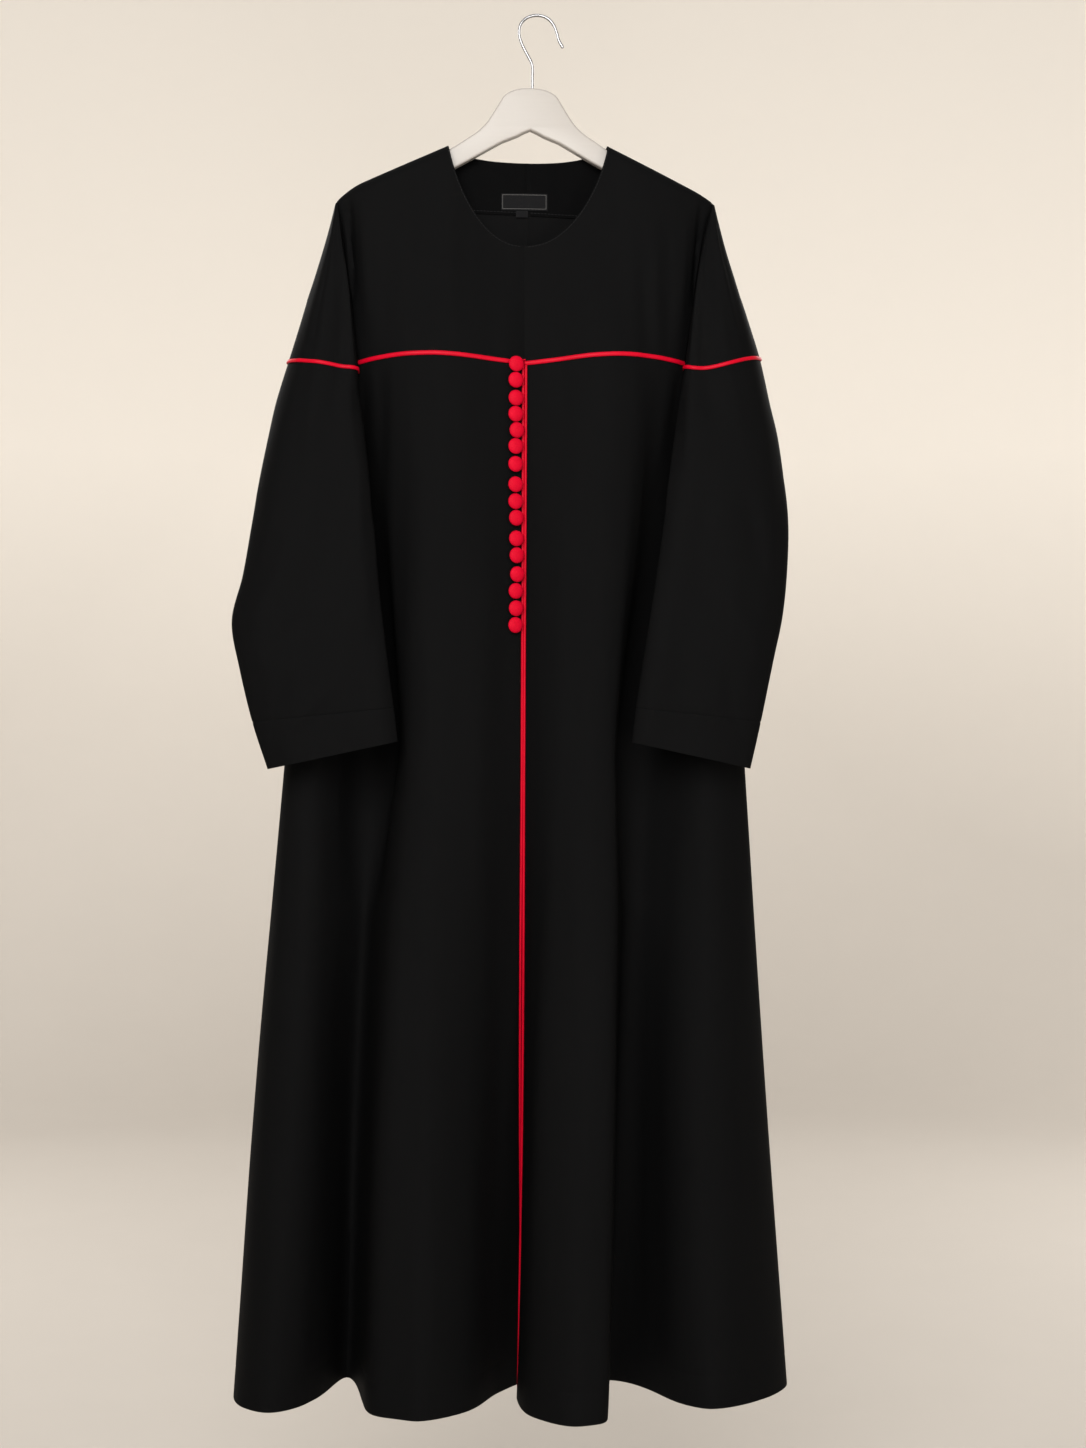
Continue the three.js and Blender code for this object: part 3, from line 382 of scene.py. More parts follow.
def newObject(name, mesh, material, smoothAngle=55):
    mesh.polygons.foreach_set("use_smooth", np.ones(len(mesh.polygons), bool))
    mesh.set_sharp_from_angle(angle=math.radians(smoothAngle))
    mesh.materials.append(material)
    piece = bpy.data.objects.new(name, mesh)
    bpy.context.scene.collection.objects.link(piece)
    return piece


def meshFrom(name, vertices, faces):
    mesh = bpy.data.meshes.new(name)
    mesh.from_pydata((np.asarray(vertices) * mm).tolist(), [], faces)
    mesh.validate()
    return mesh


# Four-cornered faces from arrays of vertex numbers, one array for each corner
def quads(*corners):
    return np.stack(corners, axis=-1).reshape(-1, 4).tolist()


# Vertex numbers of n rings of k points each, as they are and turned on by one point
def ringNumbers(n, k, base=0):
    index = base + np.arange(n * k).reshape(n, k)
    return index, np.roll(index, -1, axis=1)


# A closed cloth shell from rows of outer points; below closedFrom its first and last columns are one seam.
def clothShell(name, points, normals, material, thickness=None, closedFrom=None):
    rows, columns = points.shape[:2]
    thick = np.broadcast_to(cloth["thickness"] if thickness is None else thickness, (rows, columns))
    outer = np.arange(rows * columns).reshape(rows, columns)
    if closedFrom is not None:
        outer[closedFrom:, -1] = outer[closedFrom:, 0]
    inner = outer + rows * columns
    vertices = np.concatenate([points.reshape(-1, 3), (points - normals * thick[..., None]).reshape(-1, 3)])
    faces = quads(outer[1:, :-1], outer[1:, 1:], outer[:-1, 1:], outer[:-1, :-1])
    faces += quads(inner[:-1, :-1], inner[:-1, 1:], inner[1:, 1:], inner[1:, :-1])
    faces += quads(outer[0, :-1], outer[0, 1:], inner[0, 1:], inner[0, :-1])
    faces += quads(inner[-1, :-1], inner[-1, 1:], outer[-1, 1:], outer[-1, :-1])
    openRows = rows - 1 if closedFrom is None else min(closedFrom, rows - 1)
    if openRows > 0:
        a, b = slice(0, openRows), slice(1, openRows + 1)
        faces += quads(inner[a, 0], inner[b, 0], outer[b, 0], outer[a, 0])
        faces += quads(outer[a, -1], outer[b, -1], inner[b, -1], inner[a, -1])
    used, faces = np.unique(faces, return_inverse=True)
    return newObject(name, meshFrom(name, vertices[used], faces.reshape(-1, 4).tolist()), material)


# A cord: a closed profile of (across, out) points carried along a path, with domed ends.
def sweep(name, path, outs, profile, material, ends=0.7):
    along = np.empty_like(path)
    along[1:-1] = path[2:] - path[:-2]
    along[0], along[-1] = path[1] - path[0], path[-1] - path[-2]
    along = unit(along)
    outs = unit(outs - along * (outs * along).sum(axis=-1, keepdims=True))
    across = np.cross(outs, along)
    profile = np.asarray(profile, float)
    reach = np.abs(profile).max() * ends
    def ring(centre, i, size=1.0):
        return centre + size * (profile[:, :1] * across[i] + profile[:, 1:] * outs[i])
    dome = [(1 - share, math.sqrt(1 - (1 - share) ** 2)) for share in (0.45, 0.8)]
    rings = [ring(path[0] - along[0] * reach * back, 0, size) for back, size in dome]
    rings += [ring(centre, i) for i, centre in enumerate(path)]
    rings += [ring(path[-1] + along[-1] * reach * back, -1, size) for back, size in reversed(dome)]
    rings = np.array(rings)
    index, turned = ringNumbers(*rings.shape[:2])
    faces = quads(index[:-1], turned[:-1], turned[1:], index[1:])
    faces += [index[0, ::-1].tolist(), index[-1].tolist()]
    return newObject(name, meshFrom(name, rings.reshape(-1, 3), faces), material)


def ovalProfile(halfWidth, halfHeight, count):
    angles = np.arange(count) * 2 * math.pi / count
    return np.stack([halfWidth * np.cos(angles), halfHeight * np.sin(angles)], axis=-1)


# Shader sums: a Wire is a node's output that takes part in Python expressions.
class Wire:
    def __init__(self, paint, socket):
        self.paint, self.socket = paint, socket

    def __add__(self, other):
        return self.paint.sum("ADD", self, other)

    def __sub__(self, other):
        return self.paint.sum("SUBTRACT", self, other)

    def __rsub__(self, other):
        return self.paint.sum("SUBTRACT", other, self)

    def __mul__(self, other):
        return self.paint.sum("MULTIPLY", self, other)

    def __truediv__(self, other):
        return self.paint.sum("DIVIDE", self, other)

    __radd__, __rmul__ = __add__, __mul__


class Paint:
    def __init__(self, name):
        self.material = bpy.data.materials.new(name)
        self.material.use_nodes = True
        self.tree = self.material.node_tree
        self.tree.nodes.clear()
        output = self.tree.nodes.new("ShaderNodeOutputMaterial")
        self.shader = self.tree.nodes.new("ShaderNodeBsdfPrincipled")
        self.tree.links.new(self.shader.outputs[0], output.inputs["Surface"])

    def plug(self, socket, value):
        if isinstance(value, Wire):
            self.tree.links.new(value.socket, socket)
        elif isinstance(value, (tuple, list)) and socket.type == "RGBA":
            socket.default_value = (*value, 1)
        else:
            socket.default_value = value

    def node(self, kind, settings=None, inputs=None, output=0):
        made = self.tree.nodes.new(kind)
        for key, value in (settings or {}).items():
            setattr(made, key, value)
        for key, value in (inputs or {}).items():
            self.plug(made.inputs[key], value)
        return Wire(self, made.outputs[output])

    def sum(self, operation, a, b):
        return self.node("ShaderNodeMath", {"operation": operation}, {0: a, 1: b})

    def absolute(self, a):
        return self.node("ShaderNodeMath", {"operation": "ABSOLUTE"}, {0: a})

    def place(self, scale):
        coordinates = self.node("ShaderNodeTexCoord", output="Object")
        return self.node("ShaderNodeMapping", None, {"Vector": coordinates, "Scale": scale})

    def noise(self, scale, detail=2.0, roughness=0.5):
        inputs = {"Vector": self.place(scale), "Scale": 1.0, "Detail": detail, "Roughness": roughness}
        return self.node("ShaderNodeTexNoise", None, inputs)

    def mix(self, factor, a, b):
        return self.node("ShaderNodeMix", {"data_type": "RGBA"}, {0: factor, 6: a, 7: b}, output=2)

    def bump(self, height, distance, strength=1.0):
        inputs = {"Height": height, "Distance": distance, "Strength": strength}
        return self.node("ShaderNodeBump", None, inputs)

    def finish(self, **values):
        for key, value in values.items():
            self.plug(self.shader.inputs[key.replace("_", " ")], value)
        return self.material


crepeLook = {
    "dark": (0.0019, 0.0019, 0.0020), "light": (0.0038, 0.0038, 0.0039), "roughness": 0.7,
    "specular": 0.02, "grain": 0.00016,
}
# The back neck facing is the same crepe in darker colours: painted shade for the shadow inside the neck.
shadedFacingLook = {**crepeLook, "dark": (0.0008, 0.0008, 0.0009), "light": (0.0019, 0.0019, 0.002)}


# Matt crepe: a fine pebbled weave with a faint upright grain
def crepeMaterial(name, look):
    paint = Paint(name)
    pebble = paint.noise((1500, 1500, 1100), 3.0, 0.6)
    grain = paint.noise((620, 620, 14), 2.0, 0.6)
    patches = paint.noise((9, 9, 4), 2.0, 0.5)
    tone = pebble * 0.35 + grain * 0.45 + patches * 0.2
    colour = paint.mix(tone, look["dark"], look["light"])
    height = pebble * 0.7 + grain * 0.3
    return paint.finish(Base_Color=colour, Roughness=look["roughness"] + (pebble - 0.5) * 0.1,
                        Normal=paint.bump(height, look["grain"], 0.7), Specular_IOR_Level=look["specular"])


satinLook = {
    "dark": (0.31, 0.0003, 0.007), "light": (0.47, 0.0009, 0.016), "roughness": 0.42,
    "twist": 0.0001, "specular": 0.08,
}


# Red satin bias strip round the piping's cord
def satinMaterial(name):
    paint = Paint(name)
    twill = paint.noise((900, 900, 900), 2.0, 0.6)
    slubs = paint.noise((60, 60, 60), 2.0, 0.5)
    colour = paint.mix(twill * 0.4 + slubs * 0.6, satinLook["dark"], satinLook["light"])
    return paint.finish(Base_Color=colour, Roughness=satinLook["roughness"] + (slubs - 0.5) * 0.16,
                        Normal=paint.bump(twill, satinLook["twist"], 0.6),
                        Specular_IOR_Level=satinLook["specular"])


coverLook = {
    "dark": (0.33, 0.0003, 0.008), "light": (0.51, 0.0011, 0.02), "roughness": 0.6,
    "weave": 0.00022, "specular": 0.06,
}


# Red cloth of the covered buttons, with its weave
def coverMaterial(name):
    paint = Paint(name)
    threads = paint.noise((1300, 1300, 1300), 3.0, 0.6)
    cloud = paint.noise((120, 120, 120), 1.0, 0.5)
    colour = paint.mix(threads * 0.55 + cloud * 0.45, coverLook["dark"], coverLook["light"])
    return paint.finish(Base_Color=colour, Roughness=coverLook["roughness"] + (threads - 0.5) * 0.15,
                        Normal=paint.bump(threads, coverLook["weave"], 0.8),
                        Specular_IOR_Level=coverLook["specular"])


paintedLook = {"shade": (0.285, 0.26, 0.236), "light": (0.33, 0.307, 0.281), "roughness": 0.42}


# White paint over wood: the grain just telegraphs through
def paintedMaterial(name):
    paint = Paint(name)
    grain = paint.noise((22, 300, 420), 3.0, 0.6)
    smear = paint.noise((18, 18, 18), 2.0, 0.5)
    colour = paint.mix(grain * 0.35 + smear * 0.65, paintedLook["shade"], paintedLook["light"])
    return paint.finish(Base_Color=colour, Roughness=paintedLook["roughness"] + (smear - 0.5) * 0.2,
                        Normal=paint.bump(grain, 0.0001, 0.3))


wireLook = {"dark": (0.21, 0.21, 0.215), "light": (0.3, 0.3, 0.31), "roughness": 0.16}


def wireMaterial(name):
    paint = Paint(name)
    drawn = paint.noise((900, 900, 60), 2.0, 0.6)
    return paint.finish(Base_Color=paint.mix(drawn, wireLook["dark"], wireLook["light"]),
                        Roughness=wireLook["roughness"] + drawn * 0.16, Metallic=1.0)


threadLook = {
    "dark": (0.006, 0.006, 0.0065), "light": (0.012, 0.012, 0.0125), "roughness": 0.5, "specular": 0.12,
}


def threadMaterial(name):
    paint = Paint(name)
    ply = paint.noise((2500, 2500, 2500), 2.0, 0.5)
    return paint.finish(Base_Color=paint.mix(ply, threadLook["dark"], threadLook["light"]),
                        Roughness=threadLook["roughness"] + ply * 0.2,
                        Specular_IOR_Level=threadLook["specular"])


labelShape = {"x": -14, "z": -196, "width": 50, "height": 18, "border": 1.6, "line": 0.45}
tabShape = {"x": -16.5, "z": -209, "width": 13, "height": 7}
labelLook = {
    "dark": (0.003, 0.003, 0.0034), "light": (0.006, 0.006, 0.0064), "line": (0.075, 0.073, 0.07),
    "roughness": 0.6, "specular": 0.05,
}


# Black satin label with a pale woven line round it
def labelMaterial(name):
    paint = Paint(name)
    ribs = paint.noise((240, 240, 2600), 2.0, 0.5)
    coordinates = paint.node("ShaderNodeTexCoord", output="Object")
    split = paint.node("ShaderNodeSeparateXYZ", None, {"Vector": coordinates})
    across, up = split, Wire(paint, split.socket.node.outputs["Z"])
    def edgeGap(wire, centre, size):
        return size * mm / 2 - paint.absolute(wire - centre * mm)
    gapX = edgeGap(across, labelShape["x"], labelShape["width"])
    gapZ = edgeGap(up, labelShape["z"], labelShape["height"])
    gap = paint.sum("MINIMUM", gapX, gapZ) - labelShape["border"] * mm
    line = paint.sum("LESS_THAN", paint.absolute(gap), labelShape["line"] * mm / 2)
    ground = paint.mix(ribs, labelLook["dark"], labelLook["light"])
    return paint.finish(Base_Color=paint.mix(line, ground, labelLook["line"]),
                        Roughness=labelLook["roughness"] + ribs * 0.15,
                        Normal=paint.bump(ribs + line * 0.8, 0.0001, 0.5),
                        Specular_IOR_Level=labelLook["specular"])


# The darker floor colour is painted shade, which the wall blends into low down.
wallShadeLook = {
    "wall": (0.76, 0.715, 0.655), "floor": (0.40, 0.366, 0.328), "blend": (-1.75, 0.1), "roughness": 0.95,
}


# Plaster that darkens from the wall to the floor between the two heights of blend: painted shade for the
# light falling off down the wall and onto the floor
def shadedWallMaterial(name):
    paint = Paint(name)
    plaster = paint.noise((6, 6, 6), 4.0, 0.6)
    low, high = wallShadeLook["blend"]
    coordinates = paint.node("ShaderNodeTexCoord", output="Object")
    place = paint.node("ShaderNodeSeparateXYZ", None, {"Vector": coordinates}, 2)
    height = paint.node("ShaderNodeClamp", None, {"Value": (place - low) / (high - low)})
    colour = paint.mix(height + plaster * 0.04, wallShadeLook["floor"], wallShadeLook["wall"])
    return paint.finish(Base_Color=colour, Roughness=wallShadeLook["roughness"],
                        Normal=paint.bump(plaster, 0.001, 0.1))


crepe = crepeMaterial("matt black crepe", crepeLook)
# painted shade: the facing's crepe is darkened for the shadow inside the neck
shadedFacingCrepe = crepeMaterial("facing crepe in painted shade", shadedFacingLook)
satin = satinMaterial("red satin piping")
cover = coverMaterial("red button cloth")
painted = paintedMaterial("white painted wood")
steel = wireMaterial("polished wire")
thread = threadMaterial("black thread")
wovenLabel = labelMaterial("black woven label")
print("materials mixed")


# Hangs a finished piece from the root and hides the CAD nodes it stands for.
def dress(piece, nodes):
    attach(piece, "root")
    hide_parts(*nodes)
    return piece


def pieceName(word, side):
    return word + side.capitalize()


# Front yokes: from the neckline and shoulder down to the chest seam
yokeGrid = {"neckColumns": 34, "shoulderStep": 3.4}
shoulderRows = [0, 0.002, 0.005, 0.01, 0.017, 0.026, 0.038, 0.053]   # they crowd where the cloth turns over


# Height at a neckline: deep runs from 0 on the shoulder to 1 at the centre, where both sides meet.
def neckHeight(side, drop, deep):
    s = sideShape[side]
    top = ridge(bodyShape["centreX"] + s["out"] * s["neckHalf"])
    return top - (top - bodyShape["ridgeZ"] + drop) * deep


# x and z along the front neckline; turn runs from 0 at the opening to a right angle at the shoulder.
def frontNeck(side, turn):
    opening = bodyShape["openingX"]
    neckX = bodyShape["centreX"] + sideShape[side]["out"] * sideShape[side]["neckHalf"]
    x = opening + (neckX - opening) * np.sin(turn) ** (2 / bodyShape["neckSides"])
    return x, neckHeight(side, bodyShape["frontNeckDrop"], np.cos(turn) ** (2 * bodyShape["neckFloor"]))


def frontYoke(side):
    s, (opening, sideSeam) = sideShape[side], frontRange[side]
    out, neckX = s["out"], bodyShape["centreX"] + s["out"] * s["neckHalf"]
    neckCount = yokeGrid["neckColumns"]
    neckTopX, neckTopZ = frontNeck(side, np.linspace(0, math.pi / 2, neckCount))
    shares = clothSteps(s["tip"] - s["neckHalf"], yokeGrid["shoulderStep"])[3:]
    shoulderX = neckX + out * (s["tip"] - s["neckHalf"]) * shares
    topX = np.concatenate([neckTopX, shoulderX])
    topZ = np.concatenate([neckTopZ, ridge(shoulderX)])
    columns = len(topX) - 1
    # the same spread of columns as the solids': eight to the neck and seven to the shoulder
    k = np.concatenate([np.linspace(0, 8 / 15, neckCount), 8 / 15 + 7 / 15 * shares])
    seamEnd = armhole(side, "front", bodyShape["chestZ"])
    bottomX = bodyShape["openingX"] + (seamEnd - bodyShape["openingX"]) * k
    bottomZ = chestSeam(side, bottomX)
    rows = np.concatenate([shoulderRows, np.linspace(0.07, 0.985, 46), [0.993, 0.997, 1]])
    share = rows[:, None]
    z = topZ + (bottomZ - topZ) * share
    x = topX + (bottomX - topX) * share
    x[:, -1] = armhole(side, "front", z[:, -1])
    x[:, 0] = bodyShape["openingX"]
    t = lineAt(x, z, opening, sideSeam)
    points, normals = bodyCloth(t, z)
    seat = np.arange(neckCount - 1, columns + 1)
    points[0, seat], normals[0, seat] = ridgeSeat(points[0, seat])
    points = dipSeams(points, normals, ["bottom", "last"])
    points[0, seat, 2] -= cloth["seamDip"] * cloth["shoulderDip"]
    points, normals = facingOut(points, normals, side == "right")
    return clothShell(pieceName("frontYoke", side), points, normals, crepe)


def ridgeSeat(points):
    points = points.copy()
    x = points[:, 0]
    slope = (ridge(x + 1) - ridge(x - 1)) / 2
    points[:, 1] = 0
    points[:, 2] = ridge(x)
    return points, unit(np.stack([-slope, 0 * x, 0 * x + 1], axis=-1))


# Long fronts: from the chest seam to the hem
frontGrid = {"columns": 84, "rows": 150, "width": 240, "steady": 0.55, "edgeInset": 3.0}
hemShape = {"fold": 34, "stitchDip": 0.22, "stitchWidth": 1.2, "edgeDip": 0.35, "edgeWidth": 1.7}


def hemSteps(first, last, count):
    fold = hemShape["fold"]
    drops = np.linspace(first + 4, last - 2.5, count)
    drops = drops[(drops < last - fold - 2.5) | (drops > last - fold + 2.5)]
    return np.concatenate([first + np.array([0, 0.8, 1.6]), drops,
                           last - fold + np.array([-1.4, 0, 1.4]), last - np.array([1.6, 0.7, 0])])


# The hem is turned up inside: thicker cloth below a faint line of the blind stitching.
def hemDetail(points, normals, drops, last):
    fold = hemShape["fold"]
    width = hemShape["edgeWidth"]
    onLine = np.exp(-((drops - (last - fold)) / hemShape["stitchWidth"]) ** 2)
    edge = np.clip((drops - (last - width)) / width, 0, 1)
    dip = hemShape["stitchDip"] * onLine + hemShape["edgeDip"] * edge ** 2
    points = points - normals * dip[:, None, None]
    thick = np.where(drops > last - fold, cloth["hemThickness"], cloth["thickness"])
    return points, np.repeat(thick[:, None], points.shape[1], axis=1)


def longFront(side):
    opening, sideSeam = frontRange[side]
    last = bodyShape["chestZ"] - bodyShape["hemZ"]
    underarmDrop = bodyShape["chestZ"] - bodyShape["underarmZ"]
    drops = np.sort(hemSteps(0, last, frontGrid["rows"]))
    level = bodyShape["chestZ"] - drops
    edge = lineAway(opening, sideSeam, frontGrid["edgeInset"], level)
    armholeX = armhole(side, "front", np.maximum(level, bodyShape["underarmZ"]))
    atArmhole = lineAt(armholeX, level, opening, sideSeam)
    limit = np.where(drops < underarmDrop, atArmhole, sideSeam)[:, None]
    share = clothSteps(frontGrid["width"], frontGrid["width"] / frontGrid["columns"])[None, :]
    kept = frontGrid["steady"]
    steady = edge[:, None] + (sideSeam - edge[:, None]) * np.minimum(share, kept)
    t = steady + (limit - steady) * np.maximum(share - kept, 0) / (1 - kept)
    level = np.broadcast_to(level[:, None], t.shape)
    lift = chestSeam(side, flatPoint(t, level)[..., 0]) - bodyShape["chestZ"]
    z = level + lift * np.maximum(0, 1 - drops / underarmDrop)[:, None]
    points, normals = bodyCloth(t, z)
    points, thick = hemDetail(points, normals, drops, last)
    points = dipSeams(points, normals, ["top", "first", "last"])
    if side == "right":
        points, normals, thick = points[:, ::-1], normals[:, ::-1], thick[:, ::-1]
    return clothShell(pieceName("front", side), points, normals, crepe, thick)


# Long backs: from the back neck and shoulder to the hem
backGrid = {"rows": 110, "aboveHem": -500.0}   # aboveHem stands for every row too high for the hem's turn-up


def neckline(side, x, drop):
    share = np.minimum(np.abs(x - bodyShape["centreX"]) / sideShape[side]["neckHalf"], 1)
    return neckHeight(side, drop, (1 - share ** bodyShape["neckSides"]) ** bodyShape["neckFloor"])


def longBack(side):
    s, (centre, sideSeam) = sideShape[side], backRange[side]
    out, seamX = s["out"], bodyShape["backSeamX"]
    tipX = bodyShape["centreX"] + out * s["tip"]
    neckX = bodyShape["centreX"] + out * s["neckHalf"]
    neckShare = np.sin(np.concatenate([[0, 0.012, 0.025], np.linspace(0.06, 1, 26)]) * math.pi / 2)
    shoulderShare = clothSteps(s["tip"] - s["neckHalf"], yokeGrid["shoulderStep"])[3:]
    x0 = np.concatenate([seamX + (neckX - seamX) * neckShare, neckX + (tipX - neckX) * shoulderShare])
    neckCount = len(neckShare)
    topZ = ridge(x0)
    topZ[:neckCount - 1] = neckline(side, x0[:neckCount - 1], bodyShape["backNeckDrop"])
    rows = np.concatenate([shoulderRows, np.linspace(0.07, 1, 46)])
    z = topZ + (bodyShape["underarmZ"] - topZ) * rows[:, None]
    width = armhole(side, "back", z) - seamX
    x = seamX + width * ((x0 - seamX) / (tipX - seamX))
    x[0] = x0
    x[:, 0] = seamX
    upper = lineAt(x, z, centre, sideSeam)
    lines = upper[-1]
    last = bodyShape["underarmZ"] - bodyShape["hemZ"]
    drops = np.sort(hemSteps(2, last, backGrid["rows"]))
    level = bodyShape["underarmZ"] - drops
    blend = (lines - lines[0]) / (lines[-1] - lines[0])
    lower = centre + (sideSeam - centre) * np.repeat(blend[None, :], len(level), axis=0)
    t = np.concatenate([upper, lower])
    z = np.concatenate([z, np.repeat(level[:, None], len(x0), axis=1)])
    points, normals = bodyCloth(t, z)
    seat = np.arange(neckCount - 1, len(x0))
    points[0, seat], normals[0, seat] = ridgeSeat(points[0, seat])
    allDrops = np.concatenate([np.full(len(upper), backGrid["aboveHem"]), drops])
    points, thick = hemDetail(points, normals, allDrops, last)
    points = dipSeams(points, normals, ["first", "last"])
    points[0, seat, 2] -= cloth["seamDip"] * cloth["shoulderDip"]
    if side == "left":
        points, normals, thick = points[:, ::-1], normals[:, ::-1], thick[:, ::-1]
    return clothShell(pieceName("back", side), points, normals, crepe, thick)


# Back neck facing, lying inside the back
facingShape = {
    "half": 98, "bottomZ": -210.5, "slant": 0.035, "gap": 0.7, "thickness": 0.9,
    "belowNeck": 1.5, "belowRidge": 4, "seamRise": 0.4,
}
tabCloth = {"thickness": 0.7, "puff": 0.35, "gap": 0.15}


def facingEdge(x):
    return facingShape["bottomZ"] - facingShape["slant"] * (x - bodyShape["backSeamX"])


def neckFacing(side):
    out, (centre, sideSeam) = sideShape[side]["out"], backRange[side]
    share = np.concatenate([[0, 0.008, 0.02], np.linspace(0.05, 1, 30)])
    x = bodyShape["backSeamX"] + out * facingShape["half"] * share
    topZ = neckline(side, x, bodyShape["backNeckDrop"]) - facingShape["belowNeck"]
    topZ = np.minimum(topZ, ridge(x) - bodyShape["ridgeRound"] - facingShape["belowRidge"])
    rows = np.concatenate([np.linspace(0, 0.96, 22), [0.985, 1]])[:, None]
    z = topZ + (facingEdge(x) - topZ) * rows
    t = lineAt(np.broadcast_to(x, z.shape), z, centre, sideSeam)
    points, normals = bodyCloth(t, z)
    points = points - normals * (cloth["thickness"] + facingShape["gap"])
    atSeam = np.where(share < 0.015, facingShape["seamRise"], 0.0)
    points = points + normals * atSeam[None, :, None]
    points, normals = facingOut(points, normals, side == "left")
    return clothShell(pieceName("neckFacing", side), points, normals, shadedFacingCrepe, facingShape["thickness"])


# A label or tab on the facing
def neckTab(name, shape, depth, material):
    across = np.linspace(-0.5, 0.5, 26)
    up = np.linspace(0.5, -0.5, 12)[:, None]
    z = shape["z"] + shape["height"] * up + 0 * across
    x = shape["x"] - shape["width"] * across + 0 * up
    t = lineAt(x, z, leftSeam, rightSeam)
    points, normals = bodyCloth(t, z)
    puff = tabCloth["puff"] * np.sin(math.pi * (up + 0.5)) * np.sin(math.pi * (across + 0.5)) + 0 * x
    points = points - normals * (depth + puff)[..., None]
    return clothShell(name, points, normals, material, tabCloth["thickness"])


# Sleeves: for each ring the outer and inner folds as x and z, the front, back and edge depths, and the x
# of the underarm seam below the armhole.
sleeveShape = {"underarmRing": 6, "chestRing": 4, "cuffRing": 12, "lastRing": 13, "underarmY": -2}
seamSag = {"drop": {"left": 5.5, "right": 0.6}, "share": 0.4, "spread": 0.13}
sleeveRings = {
    "left": [
        (190.5, -200, 188, -200, -7, 7, 0, None), (201, -243, 176.6, -243, -20, 14, -1, None),
        (213.5, -283, 169.2, -283, -28, 18, -2, None), (226.5, -326, 162.2, -326, -34, 20, -3, None),
        (238.5, -366, 154.6, -379, -39, 20, -5, None), (249, -415, 148, -415, -44, 15, -10, None),
        (257, -452, 142, -451, -50, 5, -16, 202.5), (262, -497, 136, -497, -55, -13, -24, 198),
        (265, -545, 129, -550, -59, -21, -32, 194), (263, -595, 121, -605, -62, -25, -38, 189),
        (257.5, -645, 113, -655, -64, -28, -42, 183), (247.5, -692, 106, -697, -65, -30, -45, 176),
        (233.5, -757, 99, -742, -64, -32, -47, 168), (222, -806, 95, -778, -63, -34, -48, 160),
    ],
    "right": [
        (-216.5, -204.5, -214, -204.5, -7, 7, 0, None), (-226, -243, -209.4, -243, -20, 14, -1, None),
        (-238, -283, -203.6, -283, -28, 18, -2, None), (-252, -326, -198.4, -326, -34, 20, -3, None),
        (-267, -375, -192.4, -385, -39, 20, -5, None), (-278, -415, -191, -415, -45, 15, -10, None),
        (-285.5, -452, -186.6, -451, -50, 5, -16, -243.5), (-295, -500, -180.4, -500, -54, -13, -24, -239),
        (-303.5, -550, -175, -552, -58, -20, -30, -236), (-312.5, -603, -170, -610, -61, -23, -36, -232),
        (-323.5, -651, -164, -665, -63, -25, -40, -228), (-315.5, -700, -159, -706, -64, -27, -43, -223),
        (-302, -757, -154, -742, -63, -29, -45, -218), (-286, -806, -150, -777, -62, -31, -46, -212),
    ],
}
# Soft creases of a sleeve: share round it and ring at the two ends, width in mm, height and lean
sleeveCreases = {
    "left": [
        (0.2, 1.2, 0.26, 4.0, 7, 1.2, 0.2), (0.3, 1.4, 0.4, 5.6, 9, -1.4, 0.0),
        (0.44, 2.2, 0.5, 6.8, 12, 1.3, 0.2), (0.22, 4.4, 0.34, 8.6, 12, -1.5, 0.2),
        (0.36, 5.2, 0.5, 9.8, 13, 1.6, 0.0), (0.26, 8.0, 0.42, 11.8, 12, -1.3, 0.2),
        (0.5, 7.4, 0.6, 9.6, 8, -1.6, 0.3), (0.46, 9.2, 0.58, 10.6, 7, 1.4, 0.0),
        (0.3, 10.4, 0.3, 13, 14, 1.0, 0.0), (0.7, 2.4, 0.76, 5.8, 10, 1.4, 0.2),
        (0.8, 3.4, 0.88, 6.6, 9, -1.6, 0.0), (0.72, 7.0, 0.86, 12.4, 13, 1.2, 0.2),
        (0.12, 5.6, 0.2, 7.6, 7, 1.3, 0.0), (0.5, 0.5, 0.54, 3.9, 6, 1.2, 0.2),
        (0.5, 11.2, 0.6, 12.4, 5, -1.6, 0.2), (0.4, 11.4, 0.52, 12.3, 4, 1.2, 0.0),
    ],
    "right": [
        (0.22, 1.3, 0.25, 4.0, 7, 1.2, -0.2), (0.32, 1.6, 0.38, 5.8, 10, -1.4, 0.0),
        (0.46, 2.4, 0.48, 7.0, 12, 1.2, 0.2), (0.2, 4.8, 0.36, 8.8, 12, 1.4, 0.2),
        (0.3, 6.4, 0.5, 9.9, 12, -1.6, 0.0), (0.52, 8.2, 0.6, 10.2, 8, 1.7, 0.2),
        (0.44, 9.6, 0.58, 10.8, 7, -1.4, 0.3), (0.24, 8.8, 0.38, 12.2, 12, -1.2, 0.0),
        (0.4, 10.6, 0.38, 13, 13, 1.0, 0.0), (0.68, 2.6, 0.78, 6.2, 10, -1.4, 0.2),
        (0.8, 3.6, 0.9, 7.0, 9, 1.5, 0.0), (0.74, 7.4, 0.84, 12.2, 13, -1.2, 0.2),
        (0.1, 5.8, 0.22, 8.0, 7, -1.3, 0.0), (0.5, 0.5, 0.52, 3.9, 6, -1.3, 0.2),
        (0.52, 11.1, 0.62, 12.4, 5, -1.6, 0.2), (0.42, 11.3, 0.54, 12.3, 4, 1.3, 0.0),
    ],
}


def ringValues(side, at):
    table = sleeveRings[side]
    knots = np.arange(len(table))
    values = [hermite(knots, [row[k] for row in table], at) for k in range(7)]
    under = sleeveShape["underarmRing"]
    values.append(hermite(knots[under:], [row[7] for row in table[under:]], at))
    return values


